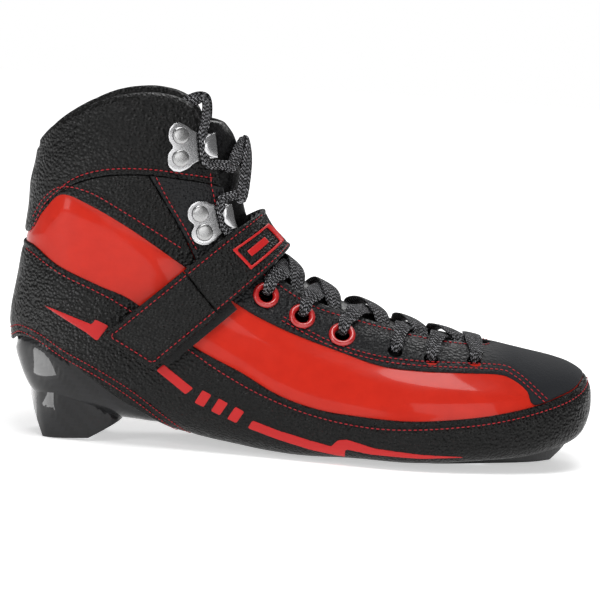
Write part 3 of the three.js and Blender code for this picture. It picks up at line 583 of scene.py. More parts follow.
def nubuck(name):
    """Brushed at the toe, smooth grain towards the lace holes."""
    m = finish_of(name, (0.02, 0.022, 0.025), 0.7, Specular_IOR_Level=0.25, Sheen_Weight=0.05,
                  Sheen_Roughness=0.5)
    where = coordinates(m)
    split_xyz = node(m, "ShaderNodeSeparateXYZ")
    link(m, where, split_xyz.inputs["Vector"])
    towards_toe = between(m, split_xyz.outputs["X"], 0.078, 0.104)
    fibres = noise(m, where, 1500, 6, 0.7)
    cells = node(m, "ShaderNodeTexVoronoi", {"Scale": 950, "Smoothness": 0.4}, feature="SMOOTH_F1")
    link(m, where, cells.inputs["Vector"])
    waves = relief(m, noise(m, where, 60, 2), 0.0006, 0.6)
    fine = relief(m, combine(m, "ADD", cells.outputs["Distance"], fibres), 0.00014, 0.7, waves)
    grain = round_cells(m, where, 620)
    grained = combine(m, "MULTIPLY", grain, combine(m, "SUBTRACT", 1, towards_toe))
    relief(m, grained, 0.0007, 1.0, fine)
    clouds = noise(m, where, 90, 4)
    black = combine(m, "MULTIPLY", clouds, 0.35)
    brushed = combine(m, "ADD", combine(m, "MULTIPLY", towards_toe, 0.45),
                      combine(m, "MULTIPLY", fibres, 0.3))
    shade = combine(m, "ADD", black, combine(m, "MULTIPLY", brushed, towards_toe))
    tint(m, shade, (0.003, 0.003, 0.0035), (0.012, 0.0135, 0.017))
    link(m, between(m, towards_toe, 0, 1, 0.4, 0.8), m.node_tree.nodes["Principled BSDF"].inputs["Roughness"])
    return m


def patent(name):
    """Lacquered leather: even red under a clear coat, with faint wrinkles below the gloss."""
    m = finish_of(name, RED, 0.32, Coat_Weight=0.38, Coat_Roughness=0.06, Coat_IOR=1.4,
                  Specular_IOR_Level=0.1)
    where = coordinates(m)
    wrinkle = noise(m, coordinates(m, scale=(1, 1, 2.4), turned=(0, 0.5, 0)), 60, 5, 0.55)
    slow = relief(m, noise(m, where, 22, 2), 0.0022, 0.55)
    relief(m, wrinkle, 0.00045, 0.45, slow)
    tint(m, noise(m, where, 140, 3), (0.48, 0.017, 0.008), (0.6, 0.025, 0.011))
    return m


vamp_leather = nubuck("brushed_toe_leather")
red_patent = patent("red_patent_leather")
tongue_leather = pebbled("tongue_leather", (0.009, 0.009, 0.0095), 0.0016, 0.00007, 0.24)


# %% Carbon, metal and cloth
def carbon_cloth(name, bundle=0.0022):
    """Twill: the height and the gloss of crossing bundles, under a clear coat, with the bundles of one
    direction painted lighter as their sheen.
    """
    m = finish_of(name, (0.006, 0.006, 0.0065), 0.45, Coat_Weight=1.0, Coat_Roughness=0.03, Coat_IOR=1.34,
                  Specular_IOR_Level=0.12)
    where = coordinates(m)
    xyz = node(m, "ShaderNodeSeparateXYZ")
    link(m, where, xyz.inputs["Vector"])

    def bundles(axis):
        """Counts bundles along one axis, leaning with Y so that the cloth turns round the sides too."""
        slanted = combine(m, "ADD", xyz.outputs[axis], combine(m, "MULTIPLY", xyz.outputs["Y"], 0.5))
        return combine(m, "MULTIPLY", slanted, 1 / bundle)

    across, upward = bundles("X"), bundles("Z")
    step = combine(m, "ADD", combine(m, "FLOOR", across, 0), combine(m, "FLOOR", upward, 0))
    over = combine(m, "GREATER_THAN", combine(m, "FLOORED_MODULO", step, 4), 1.5)
    along_x = combine(m, "SINE", combine(m, "MULTIPLY", upward, math.pi * 2), 0)
    along_z = combine(m, "SINE", combine(m, "MULTIPLY", across, math.pi * 2), 0)
    first = combine(m, "MULTIPLY", over, along_x)
    second = combine(m, "MULTIPLY", combine(m, "SUBTRACT", 1, over), along_z)
    relief(m, combine(m, "ADD", first, second), 0.00007, 0.5)
    # Painted sheen: the bundles of one direction are painted lighter than the others, plus a random tone from
    # noise.
    shade = combine(m, "ADD", combine(m, "MULTIPLY", over, 0.6), noise(m, where, 500, 2))
    tint(m, shade, (0.002, 0.002, 0.0022), (0.008, 0.008, 0.009))
    rough_by(m, over, 0.36, 0.5)
    return m


def metal(name, colour, roughness, scratch=900):
    m = finish_of(name, colour, roughness, Metallic=1.0)
    where = coordinates(m)
    rough_by(m, noise(m, where, scratch, 4), roughness * 0.85, roughness * 1.2)
    relief(m, noise(m, where, scratch * 0.3, 3), 0.000006, 0.2)
    return m


def woven(name, colour, pitch=0.0012, depth=0.0002):
    m = finish_of(name, colour, 0.85, Sheen_Weight=0.3, Sheen_Roughness=0.4)
    where = coordinates(m)
    cells = node(m, "ShaderNodeTexVoronoi", {"Scale": 1 / pitch, "Randomness": 0.25}, feature="F1")
    link(m, where, cells.inputs["Vector"])
    relief(m, cells.outputs["Distance"], depth, 0.8)
    shade = combine(m, "ADD", cells.outputs["Distance"], combine(m, "MULTIPLY", noise(m, where, 300, 3), 0.3))
    tint(m, shade, tuple(c * 1.6 for c in colour), tuple(c * 0.4 for c in colour))
    return m


def braid(name):
    """Flat braid on the lace's own U and V, in millimetres: herringbone plaits with pale flecks."""
    m = finish_of(name, (0.015, 0.015, 0.016), 0.7, Specular_IOR_Level=0.15)
    uv = node(m, "ShaderNodeTexCoord")
    xyz = node(m, "ShaderNodeSeparateXYZ")
    link(m, uv.outputs["UV"], xyz.inputs["Vector"])
    u, v = xyz.outputs["X"], xyz.outputs["Y"]
    fold = combine(m, "PINGPONG", u, 2.1)
    column = combine(m, "DIVIDE", u, 0.7)
    odd = combine(m, "FLOORED_MODULO", combine(m, "FLOOR", column, 0), 2.0)
    lean = combine(m, "ADD", combine(m, "ADD", v, fold), combine(m, "MULTIPLY", odd, 1.0))
    plait = combine(m, "PINGPONG", lean, 1.0)
    ridge = combine(m, "PINGPONG", column, 0.5)
    height = combine(m, "MULTIPLY", combine(m, "ADD", plait, 0.3), combine(m, "ADD", ridge, 0.3))
    relief(m, height, 0.0005, 0.9)
    on_ridge = combine(m, "GREATER_THAN", ridge, 0.24)
    on_top = combine(m, "GREATER_THAN", plait, 0.52)
    worn = between(m, noise(m, uv.outputs["UV"], 0.5, 2), 0.4, 0.6, 0.25, 1.0)
    fleck = combine(m, "MULTIPLY", combine(m, "MULTIPLY", on_ridge, on_top), worn)
    tint(m, fleck, (0.005, 0.005, 0.0055), (0.42, 0.42, 0.44))
    return m


carbon = carbon_cloth("carbon_under_resin")
chrome = metal("polished_chrome", (0.62, 0.62, 0.63), 0.22)
rivet_chrome = metal("rivet_chrome", (0.42, 0.42, 0.42), 0.26)
alloy = metal("machined_alloy", (0.55, 0.56, 0.58), 0.35)
ring_lacquer = finish_of("red_ring_lacquer", (0.45, 0.012, 0.012), 0.28, Coat_Weight=0.8, Coat_Roughness=0.12)
relief(ring_lacquer, noise(ring_lacquer, coordinates(ring_lacquer), 400, 3), 0.00005, 0.5)
lining_cloth = woven("lining_mesh", (0.014, 0.014, 0.015))
footbed_cloth = woven("footbed_cloth", (0.02, 0.02, 0.022), 0.0016)
hook_cloth = woven("hook_and_loop", (0.008, 0.008, 0.008), 0.0007, 0.0004)
lace_braid = braid("lace_braid")
tip_plastic = finish_of("lace_tip", (0.012, 0.012, 0.012), 0.2)
relief(tip_plastic, noise(tip_plastic, coordinates(tip_plastic), 600, 2), 0.00004, 0.4)
thread = finish_of("red_thread", (0.42, 0.012, 0.02), 0.55, Specular_IOR_Level=0.3)
relief(thread, noise(thread, coordinates(thread), 4000, 2), 0.0001, 0.6)
mark_film = finish_of("red_moulded_mark", (0.5, 0.012, 0.012), 0.45, Coat_Weight=0.1, Specular_IOR_Level=0.25)
relief(mark_film, noise(mark_film, coordinates(mark_film), 500, 3), 0.00006, 0.5)
print(len(bpy.data.materials), "finishes")


# %% [markdown]
# ## The upper
# The rand is the wide band of leather round the foot of the boot. Above it lies the red window,
# a single sheet of patent leather that swells a little between its edges, because the leather
# over it is drawn down by seams. The ankle panels, the vamp and the cuff close it from above.

# %% Seam lines in side view
CUFF_SEAM = curve([(-137, 108), (-131.2, 117.7), (-125.8, 128.2), (-118, 136.2), (-107.9, 143.1),
                   (-93.1, 146.7), (-73.8, 146.5), (-54.5, 143.4), (-43.8, 141.5)])
ANKLE_STITCH = curve([(-69.8, 141.8), (-64.2, 130.8), (-57.1, 118.4), (-51.3, 107.6)])
REAR_STITCH = curve([(-131, 122.5), (-125.5, 131.5), (-116.5, 137.8), (-102.9, 135.7), (-86.4, 126.3),
                     (-59.3, 108.3)])
UPPER_STITCH = curve([(-7.8, 73.3), (13.7, 62.4), (35.6, 55.9), (57.1, 52.8), (79.9, 51), (98.9, 49.1),
                      (105.2, 46.3), (111.4, 41.8), (120, 33.9)])
RAND_STITCH = curve([(-142, 106.2), (-134.5, 106), (-116.4, 95), (-100.2, 87.2), (-86.5, 79.5),
                     (-55.2, 58.6), (-38.5, 47.2), (-19, 36.4), (3.9, 27.6), (27.1, 22.7), (47.9, 21.2),
                     (78.9, 22.2), (104.1, 24.9), (126.5, 29.6), (137.2, 33.2), (142.9, 37), (148, 41)])
HEEL_STITCH = curve([(-150, 63.5), (-145.7, 64.7), (-139.3, 68.4), (-129.2, 65.5), (-116.1, 57.1),
                     (-103.7, 50.4), (-91, 43), (-78.8, 34.5), (-66.3, 24.1), (-54.8, 14.1)])


def offset_line(line, by):
    """The line moved to its right, which is down for a line drawn to the toe."""
    run = np.gradient(line, axis=0)
    run = run / np.linalg.norm(run, axis=1, keepdims=True)
    return line + np.stack([run[:, 1], -run[:, 0]], -1) * by


UPPER_STITCH_2 = offset_line(UPPER_STITCH, 1.9)
HEEL_STITCH_2 = offset_line(HEEL_STITCH, 3.1)


def near(line):
    """Distance to a seam, without a sign."""
    return lambda s, a: np.abs(distance(line, *skin_point(s, a)[:, [0, 2]].T))


def valley(s, a, *lines, depth=0.4, wide=1.0):
    """How far seams pull the leather down."""
    return -depth * sum(np.exp(-(near(line)(s, a) / wide) ** 2) for line in lines)


# %% Rand
SOLE_EDGE = 13.0
LEATHER, LEATHER_LIP = 1.2, 1.1


def outside_sole(s, a):
    """Positive outside the opening under the foot, where the carbon shows."""
    p = skin_point(s, a)
    row = section(s)
    half = np.where(p[:, 1] < row[:, 9], row[:, 4], row[:, 5]) - SOLE_EDGE
    ends = np.maximum((1.2 - s) * 12, (s - 7.9) * 14)
    inside = np.maximum(np.abs(p[:, 1] - row[:, 9]) - half, ends)
    return np.where(np.cos(a) > 0.2, inside, 60.0)


band = [below(WINDOW_FOOT), above(HEEL_EDGE), outside_sole]
rand_seams = (RAND_STITCH, HEEL_STITCH, HEEL_STITCH_2)
rand_sheet = cut_sheet(sheet_grid(0, 15.9), band, [(e, LEATHER_LIP) for e in band],
                       [near(line) for line in rand_seams])
s, a, _ = rand_sheet
to_edge = np.minimum.reduce([e(s, a) for e in band])
rand_depth = lip(to_edge, LEATHER_LIP) + valley(s, a, *rand_seams) + 0.25 * swell(to_edge - 3, 6)
rand = leather_piece("rand", rand_sheet, rand_depth, LEATHER, boot_leather)

# %% Red window, which runs a little way under the leather round it
UNDERLAP, WINDOW_DEPTH, WINDOW_SWELL = 4.0, -1.3, 0.75
WINDOW_FRONT = 0.35
window = [above(WINDOW_FOOT, -UNDERLAP), below(WINDOW_TOP, UNDERLAP), lambda s, a: s - WINDOW_FRONT]
window_sheet = cut_sheet(sheet_grid(0.3, 16.4, step=0.07), window)
s, a, _ = window_sheet
inside = np.minimum(above(WINDOW_FOOT)(s, a), below(WINDOW_TOP)(s, a))
window_depth = WINDOW_DEPTH + WINDOW_SWELL * swell(inside, 9)
patent_sheet = leather_piece("patent_window", window_sheet, window_depth, 1.0, red_patent)

# %% Ankle panels, vamp and cuff
ankle = [above(WINDOW_TOP), below(CUFF_FOOT, -0.3), below(ANKLE_SEAM, -0.3)]
ankle_lips = [(ankle[0], LEATHER_LIP), (ankle[2], 0.8)]
ankle_sheet = cut_sheet(sheet_grid(7, 17.6), ankle, ankle_lips, [near(REAR_STITCH)])
s, a, _ = ankle_sheet
to_edge = np.minimum(ankle[0](s, a), ankle[2](s, a))
ankle_depth = lip(to_edge, LEATHER_LIP) + valley(s, a, REAR_STITCH) - 0.15 + 0.3 * swell(to_edge - 2, 6)
ankle_panels = leather_piece("ankle_panels", ankle_sheet, ankle_depth, LEATHER, boot_leather)

front = [above(WINDOW_TOP), below(CUFF_FOOT, -0.3), above(ANKLE_SEAM), beside_throat()]
THROAT_SEAM = 3.4
VAMP_LIP = 1.2
stitched = [near(UPPER_STITCH), near(UPPER_STITCH_2), near(ANKLE_STITCH), beside_throat(THROAT_SEAM)]
RINGS, RING_HOLE, PUNCHED_HOLE = 3, 4.3, 3.8
EYELETS = np.array([(-17.2, 83.9), (0.5, 73.6), (20.1, 65), (46, 57.4), (63.6, 53.4), (85, 51.6)])


def round_hole(at, side, radius):
    (hole_s,), (hole_a,) = locate([at], side)
    middle = skin_point(hole_s, hole_a)
    return lambda s, a: np.linalg.norm(skin_point(s, a) - middle, axis=1) - radius


holes = [round_hole(at, side, RING_HOLE if i < RINGS else PUNCHED_HOLE)
         for i, at in enumerate(EYELETS) for side in SIDES.values()]
vamp_lips = [(e, VAMP_LIP) for e in front[::2] + front[3:]]
vamp_sheet = cut_sheet(sheet_grid(0.5, 15.6, True), front + holes, vamp_lips, stitched)
s, a, _ = vamp_sheet
to_edge = np.minimum.reduce([front[0](s, a), front[2](s, a), front[3](s, a)])
to_hole = np.minimum.reduce([hole(s, a) for hole in holes])
throat_valley = -0.35 * np.exp(-(beside_throat(THROAT_SEAM)(s, a) / 0.9) ** 2)
vamp_depth = lip(to_edge, VAMP_LIP) + valley(s, a, UPPER_STITCH, UPPER_STITCH_2, ANKLE_STITCH) + throat_valley
vamp_depth = vamp_depth + 0.3 * swell(to_edge - 3, 8) * swell(to_hole - 1, 3)
vamp = leather_piece("vamp_upper", vamp_sheet, vamp_depth, 1.3, vamp_leather)

# %% [markdown]
# The cuff is foam under leather, so it has an outer and an inner face that roll into each other
# over a wide edge. Both faces are lifted from the same cut sheet and welded along their rim.

# %% Padded cuff
PAD = 8.4
THROAT_LIP, FOOT_LIP = 2.4, 1.2
SEWN_FOOT, SEWN_THICK = 9.0, 1.3


def padded_shell(name, sheet, outer, inner, material):
    """Two faces of one cut sheet, joined along its edge."""
    s, a, faces = sheet
    count = len(s)
    points = place(np.concatenate([skin(s, a, outer), skin(s, a, inner)]))
    back = [tuple(i + count for i in reversed(f)) for f in faces]
    obj = mesh_object(name, points, faces + back, material, smooth_all=True)
    print(name, len(obj.data.polygons), "faces")
    return obj


collar = [above(CUFF_FOOT), below(RIM), beside_throat()]
collar_lips = [(collar[1], 4.2), (collar[2], THROAT_LIP), (collar[0], FOOT_LIP)]
collar_sheet = cut_sheet(sheet_grid(11.0, 18.4, True), collar, collar_lips, [near(CUFF_SEAM)])
s, a, _ = collar_sheet
to_foot, to_rim, to_throat = (e(s, a) for e in collar)
rim_radius = 2.6 + 1.6 * swell(skin_point(s, a)[:, 0] + 125, 30)
roll = np.minimum(lip(to_rim, rim_radius), lip(to_throat, THROAT_LIP) * 1.7)
UPPER_HOOK = (-58.85, 157)
hook_room = np.minimum.reduce([round_hole(UPPER_HOOK, side, 7.5)(s, a) for side in SIDES.values()])
puff = (1.0 * swell(to_foot - 4.5, 9) * swell(to_rim - 4, 14) + 0.35) * swell(hook_room, 5)
padding = roll + lip(to_foot, FOOT_LIP) + puff * (to_rim > 0.1) * swell(to_throat, 3)
cuff_outer = np.maximum(padding, -PAD / 2) + valley(s, a, CUFF_SEAM, depth=0.7, wide=1.5)
at_edge = np.minimum(to_rim, to_throat) < ON_EDGE
cuff_outer = np.where(at_edge, -PAD / 2, cuff_outer)
cuff_inner = np.minimum(-PAD - roll, -PAD / 2 - 0.4)
cuff_inner = np.where(to_foot < SEWN_FOOT, np.minimum(cuff_outer - SEWN_THICK, -SEWN_THICK), cuff_inner)
cuff_inner = np.where(at_edge | (to_foot < ON_EDGE), cuff_outer, cuff_inner)
cuff = padded_shell("padded_cuff", collar_sheet, cuff_outer, cuff_inner, cuff_leather)

# %% Tongue
TONGUE_TOP = curve([(-120, 171), (60, 171)])
TONGUE_OUTER, TONGUE_THICK, TONGUE_LIP = -4.2, 4.8, 2.4
flap = [lambda s, a: -beside_throat(5.0)(s, a), below(TONGUE_TOP), lambda s, a: (s - 4.55) * 24]
tongue_sheet = cut_sheet(sheet_grid(4.4, 18.4, True), flap, [(e, TONGUE_LIP) for e in flap[:2]])
s, a, _ = tongue_sheet
to_side, to_top = flap[0](s, a), flap[1](s, a)
roll = np.minimum(lip(to_side, TONGUE_LIP), lip(to_top, TONGUE_LIP))
at_edge = np.minimum(to_side, to_top) < ON_EDGE
soft = 0.7 * swell(to_side - 2, 9) * swell(to_top, 10)
tongue_outer = TONGUE_OUTER + np.where(at_edge, -TONGUE_LIP, roll)
tongue_outer = tongue_outer + np.where(at_edge, 0, soft * 0.4)
tongue_inner = np.where(at_edge, TONGUE_OUTER - TONGUE_LIP, TONGUE_OUTER - TONGUE_THICK - roll)
tongue = padded_shell("padded_tongue", tongue_sheet, tongue_outer, tongue_inner, tongue_leather)

# %% [markdown]
# ## Inside and below
# Looking down into the boot one sees a mesh lining and a footbed. Under it the carbon shell
# carries the foot, and it comes into view at the heel, where the leather is cut away.

# %% Lining, footbed, carbon shell
LINING_DEPTH, LINING_THICK, SHELL_DEPTH, SHELL_THICK, FOOTBED_THICK = -5.2, 3.0, -3.1, 1.2, 3.0
INSIDE_RIM = np.vstack([RIM[:-12], [(-20, 176), (160, 176)]])
hidden = [below(INSIDE_RIM, -5.0), beside_throat(12.0)]
lining_sheet = cut_sheet(sheet_grid(1.3, 18.3, True, step=0.12, turns=120), hidden)
s, a, _ = lining_sheet
lining = leather_piece("lining", lining_sheet, np.full(len(s), LINING_DEPTH), LINING_THICK, lining_cloth)

CARBON_TOP = curve([(-165, 100), (-144, 100), (-128, 92), (-104, 66), (-78, 46), (-40, 30), (0, 21), (50, 15),
                    (110, 15), (132, 19), (160, 24)])
shell_sheet = cut_sheet(sheet_grid(0, 15.5, step=0.07, turns=180), [below(CARBON_TOP)])
s, a, _ = shell_sheet
bare = swell(-above(HEEL_EDGE)(s, a) + 0.5, 5)
under = np.where((np.cos(a) > 0.2) & (s < 8.4), swell(-outside_sole(s, a), 4) * 0.6, 0)
shell_depth = SHELL_DEPTH + 1.5 * np.maximum(bare, under)
shell = leather_piece("resin_shell", shell_sheet, shell_depth, SHELL_THICK, carbon)

FOOTBED = curve([(-150, 48), (-134, 44), (-116, 35), (-72, 32.5), (-38, 27.5), (0, 21.5), (50, 16.3),
                 (110, 16.8), (136, 26), (150, 33)])


def footbed_mesh():
    """A sheet that fills each section of the lining at the height of the footbed."""
    xs, across = np.linspace(-122, 124, 80), np.linspace(-1, 1, 25)
    points = []
    for x in xs:
        z = np.interp(x, FOOTBED[:, 0], FOOTBED[:, 1])
        limits = []
        for side in (1, -1):
            st, an = locate([(x, z)], side)
            limits.append(skin(st, an, np.array([-8.9]))[0])
        for k in across:
            y = limits[0][1] + (limits[1][1] - limits[0][1]) * (k + 1) / 2
            points.append((x, y, z + 1.6 * abs(k) ** 3 - 1.5))
    return place(np.array(points)), grid_faces(len(xs), len(across))


footbed_points, footbed_faces = footbed_mesh()
footbed = mesh_object("footbed", footbed_points, footbed_faces, footbed_cloth, smooth_all=True)
thicken(footbed, FOOTBED_THICK)
bake(footbed)


# %% [markdown]
# ## The strap
# The strap crosses the instep over the lace. It is one belt of leather that comes up from the
# inner side, bends over the instep and is held on the outer side by hook and loop. It stands a
# little off the boot, and each part is cut from the skin between lines square to its run.

# %% Strap parts
ALONG, ACROSS = np.array([0.78, 0.626]), np.array([-0.626, 0.78])
STRAP_WIDTH, STRAP_MIDDLE, STRAP_LIFT, STRAP_THICK = 28.0, 97.6, 3.6, 2.2
TAB, HINGE, END = 15.0, 42.0, -34.0
LOW, HIGH = STRAP_MIDDLE - STRAP_WIDTH / 2, STRAP_MIDDLE + STRAP_WIDTH / 2


def belt_place(run, height):
    return run * ALONG + height * ACROSS


def belt_run(s, a):
    return skin_point(s, a)[:, [0, 2]] @ ALONG


def polygon(corners):
    """Fields that keep what lies inside a convex outline drawn against the clock."""
    corners = np.asarray(corners, float)
    return [edge_field(p, q) for p, q in zip(corners, np.roll(corners, -1, 0))]


def edge_field(p, q):
    d = (q - p) / np.linalg.norm(q - p)
    return lambda s, a: d[0] * (skin_point(s, a)[:, 2] - p[1]) - d[1] * (skin_point(s, a)[:, 0] - p[0])


def belt_corners(list_of_places):
    return [belt_place(*p) for p in list_of_places]


STRAP_GAP = 0.4
strap_top = polygon(belt_corners([(TAB + STRAP_GAP, LOW), (38, LOW + 0.6), (90, LOW - 1.2),
                                  (90, HIGH - 3.5), (38, HIGH), (TAB + STRAP_GAP, HIGH)]))
tab_edges = polygon(belt_corners([(END + 9, LOW), (TAB, LOW), (TAB, HIGH), (END, HIGH)]))
anchor_edges = polygon(belt_corners([(-6, LOW), (HINGE, LOW), (HINGE, HIGH), (-6, HIGH)]))
only_lateral = [lambda s, a: -skin_point(s, a)[:, 1]]
only_medial = [lambda s, a: skin_point(s, a)[:, 1]]
past_hinge = [lambda s, a: np.where(skin_point(s, a)[:, 1] > 0, belt_run(s, a) - HINGE - STRAP_GAP, 50.0)]


INSET = 2.6
STRAP_LIP = 1.0


def strap_piece(name, edges, extra, base=STRAP_LIFT + STRAP_THICK, thick=STRAP_THICK, material=strap_leather,
                rounded=True):
    """Part of the belt: round edges, and a stitch valley that runs a little inside them."""
    margin = lambda s, a: np.minimum.reduce([e(s, a) for e in edges])
    sheet = sheet_grid(6.2, 14.6, True, step=0.035, turns=280)
    for edge in edges + extra:
        sheet = split(sheet, edge, 0.0, trim=True)
    if rounded:
        for share in LIP_SHARES:
            sheet = split(sheet, margin, share * STRAP_LIP)
        for level in (-0.7, 0.0, 0.7):
            sheet = split(sheet, margin, INSET + level)
    s, a, _ = sheet
    t = margin(s, a)
    stitch_valley = -0.3 * np.exp(-((t - INSET) / 0.7) ** 2)
    depth = base + (lip(t, STRAP_LIP) + stitch_valley + 0.2 * swell(t - 3, 5) if rounded else 0 * t)
    return leather_piece(name, sheet, depth, thick, material)


strap = strap_piece("strap_belt", strap_top, past_hinge)
strap_tab = strap_piece("strap_pull", tab_edges, only_lateral)
strap_anchor = strap_piece("strap_root", anchor_edges, only_medial)
hook_edges = polygon(belt_corners([(END + 14, LOW + 3), (TAB - 3, LOW + 3), (TAB - 3, HIGH - 3),
                                   (END + 8, HIGH - 3)]))
loop_edges = polygon(belt_corners([(-19, 80), (24, 80), (24, HIGH - 2), (-26, HIGH - 2)]))
hook_patch = strap_piece("strap_hooks", hook_edges, only_lateral, 3.3, 1.2, hook_cloth, False)
loop_patch = strap_piece("strap_loops", loop_edges, only_lateral, 1.8, 1.5, hook_cloth, False)

# %% [markdown]
# The strap carries a moulded mark. A plain slanted frame round one bar stands here for it.

# %% Moulded marks on the strap
badge_outline = np.array([(-35.9, 105.1), (-26.6, 94.6), (-12.5, 104.5), (-21.5, 114.8)])


def raised_mark(name, outline, base, height, material, side=1, hole=None, s_range=(6.2, 14.6), step=0.035,
                turns=280):
    """A thin flat shape laid on the skin; hole is an inner outline that stays open."""
    keep = [lambda s, a: distance(outline, *skin_point(s, a)[:, [0, 2]].T, closed=True)]
    if hole is not None:
        keep.append(lambda s, a: -distance(hole, *skin_point(s, a)[:, [0, 2]].T, closed=True))
    grid = sheet_grid(*s_range, True, step=step, turns=turns)
    for edge in [lambda s, a: -skin_point(s, a)[:, 1] * side] + keep:
        grid = split(grid, edge, 0.0, trim=True)
    for edge in keep:
        grid = split(grid, edge, height * 0.5)
    s, a, _ = grid
    t = np.minimum.reduce([k(s, a) for k in keep])
    return leather_piece(name, grid, base + height + lip(t, height * 0.5), height + 0.2, material, 60)


def shrink(outline, by):
    """Moves every side of an outline drawn against the clock inwards."""
    p = np.asarray(outline, float)
    q = np.roll(p, -1, 0)
    d = (q - p) / np.linalg.norm(q - p, axis=1, keepdims=True)
    n = np.stack([-d[:, 1], d[:, 0]], -1)
    out = []
    for i in range(len(p)):
        a0, d0, a1, d1 = p[i - 1] + n[i - 1] * by, d[i - 1], p[i] + n[i] * by, d[i]
        k = np.linalg.solve(np.stack([d0, -d1], -1), a1 - a0)
        out.append(a0 + d0 * k[0])
    return np.array(out)


STRAP_FACE = STRAP_LIFT + STRAP_THICK + 0.25
badge_frame = raised_mark("badge_frame", badge_outline, STRAP_FACE, 0.6, mark_film,
                          hole=shrink(badge_outline, 1.3))
bar_run = (badge_outline[2] - badge_outline[1]) / np.linalg.norm(badge_outline[2] - badge_outline[1])
bar_rise = badge_outline[0] - badge_outline[1]
corner, rise = badge_outline[1] + bar_rise * 0.36, bar_rise * 0.28
bar_start, bar_end = corner + bar_run * 4, corner + bar_run * 12.9
bar_outline = np.array([bar_start, bar_end, bar_end + rise, bar_start + rise])
badge_bar = raised_mark("badge_bar", bar_outline, STRAP_FACE, 0.5, mark_film)

# %% Marks on the rand
RAND_MARKS = {
    "rand_flash": [(-127.5, 80.7), (-104.5, 66.5), (-99.5, 62.5), (-93.8, 70), (-100.2, 73.2),
                   (-101.8, 70.6)],
    "rand_bar_1": [(-56.3, 36.6), (-52.6, 39.6), (-67, 51.2), (-70.6, 48.3)],
    "rand_bar_2": [(-52, 32.6), (-47.6, 30.4), (-43.6, 36.4), (-48, 38.8)],
    "rand_bar_3": [(-44, 28.6), (-39.6, 26.4), (-35.6, 32.4), (-40, 34.8)],
    "rand_bar_4": [(-36, 24.8), (-31.6, 22.6), (-27.6, 28.4), (-32, 30.8)],
    "rand_stripe": [(-26, 20.3), (-11.5, 15), (4.4, 10.2), (21.3, 6.6), (21.6, 11.2), (34, 8.8), (58, 7),
                    (82, 7.2), (58, 9.2), (36, 12), (22.5, 16), (18, 15.6), (14.6, 12.4), (4.4, 15),
                    (-11.5, 19.6), (-23.6, 24.2)],
}
marks = {}
for name, outline in RAND_MARKS.items():
    outline = np.array(outline, float)
    area = np.sum(outline[:, 0] * np.roll(outline[:, 1], -1) - np.roll(outline[:, 0], -1) * outline[:, 1])
    outline = outline if area > 0 else outline[::-1]
    for side_name, side in SIDES.items():
        title = f"{name}_{side_name}"
        marks[title] = raised_mark(title, outline, 0.1, 0.35, mark_film, side, s_range=(4, 15.5), step=0.03,
                                   turns=320)


# %% [markdown]
# ## The lace
# One flat braided lace holds the boot. It enters every hole from outside, crosses under the
# strap, bends round the four hooks and its ends are tucked inside the collar. Its route is the
# CAD part's own: a list of stops, each with a point, the skin's normal and the lace's width.
# A curve object with a bevel would twist at the sharp turns, so each stop says which way the
# width lies.

# %% Frames lying on the skin, for holes and hooks
HOOKS = {"lower": ((-48.85, 119.5), (-35.5, 122.9), 4.8), "upper": ((-58.85, 157), (-44.1, 156.4), 5.5)}
LACE_WIDTH, LACE_THICK = 9.4, 1.3


def unit(v):
    return v / np.linalg.norm(v)


class Patch:
    """Local frame on the skin: u towards a second place, v across it, h out of the skin."""

    def __init__(self, at, towards, side):
        (s,), (a,) = locate([at], side)
        (s2,), (a2,) = locate([towards], side)
        e = 0.02
        self.s, self.a = s, a
        self.p, self.n = skin_point(s, a), skin_normal(s, a)
        ps = (skin_point(s + e, a) - skin_point(s - e, a)) / (2 * e)
        pa = (skin_point(s, a + e) - skin_point(s, a - e)) / (2 * e)
        u = skin_point(s2, a2) - self.p
        self.u = unit(u - self.n * (u @ self.n))
        self.v = np.cross(self.n, self.u) * side
        self.metric = np.array([ps, pa])
        self.gram = np.linalg.inv(self.metric @ self.metric.T)

    def at(self, u, v, h):
        s, a = np.array([self.s, self.a]) + self.gram @ (self.metric @ (self.u * u + self.v * v))
        return skin(s, a, np.array(h, float))


eyes = {(name, i): Patch(at, (at[0] + 3, at[1] + 10), side)
        for name, side in SIDES.items() for i, at in enumerate(EYELETS)}
hook_frames = {(name, level): Patch(at, to, side)
               for name, side in SIDES.items() for level, (at, to, _) in HOOKS.items()}
eye_station = locate(EYELETS, 1)[0]

# %% Stops of the lace: (run, height) through a hole and (run, across, height) round a hook
RING_DIP = [(9.5, 1.75), (7.4, 2.75), (5, 3.25), (3, 2.7), (1.8, 1.2), (1.5, -0.7), (2.2, -2.4), (4.4, -2.9),
            (8, -2.9)]
PUNCH_DIP = [(7, 1.15), (4.8, 1.2), (2.8, 0.9), (1.5, -0.4), (1.8, -2), (4, -2.85), (7, -2.9)]
HOOK_TURN = [(30, -11.3, 0), (24.5, -10.9, 1.65), (20, -10.4, 1.65), (16.5, -10, 1.8), (12.8, -8.8, 2.2),
             (11.5, -4.5, 2.5), (11.5, 0, 2.55), (11.5, 4.5, 2.5), (12.8, 8.8, 2.2), (16.5, 10, 1.8),
             (20, 10.4, 1.65), (24.5, 10.9, 1.65), (30, 11.3, 0)]


def stop(p, n, w, across=None):
    return {"p": np.asarray(p), "n": np.asarray(n), "w": w, "across": across}


def crown_stop(s, y, d, w=LACE_WIDTH):
    a = crown_angle(s, y)
    return stop(skin(s, a, np.array(float(d))), skin_normal(s, a), w)


def through_hole(stops, name, i):
    """From outside through hole i, narrowed to the hole."""
    f, ring = eyes[(name, i)], i < RINGS
    for u, h in (RING_DIP if ring else PUNCH_DIP):
        wide = (4.4 if ring else 4.2) if u < 2.5 else (6 if u < 5.5 else 7)
        stops.append(stop(f.at(u, 0, h), f.n, wide, f.v))


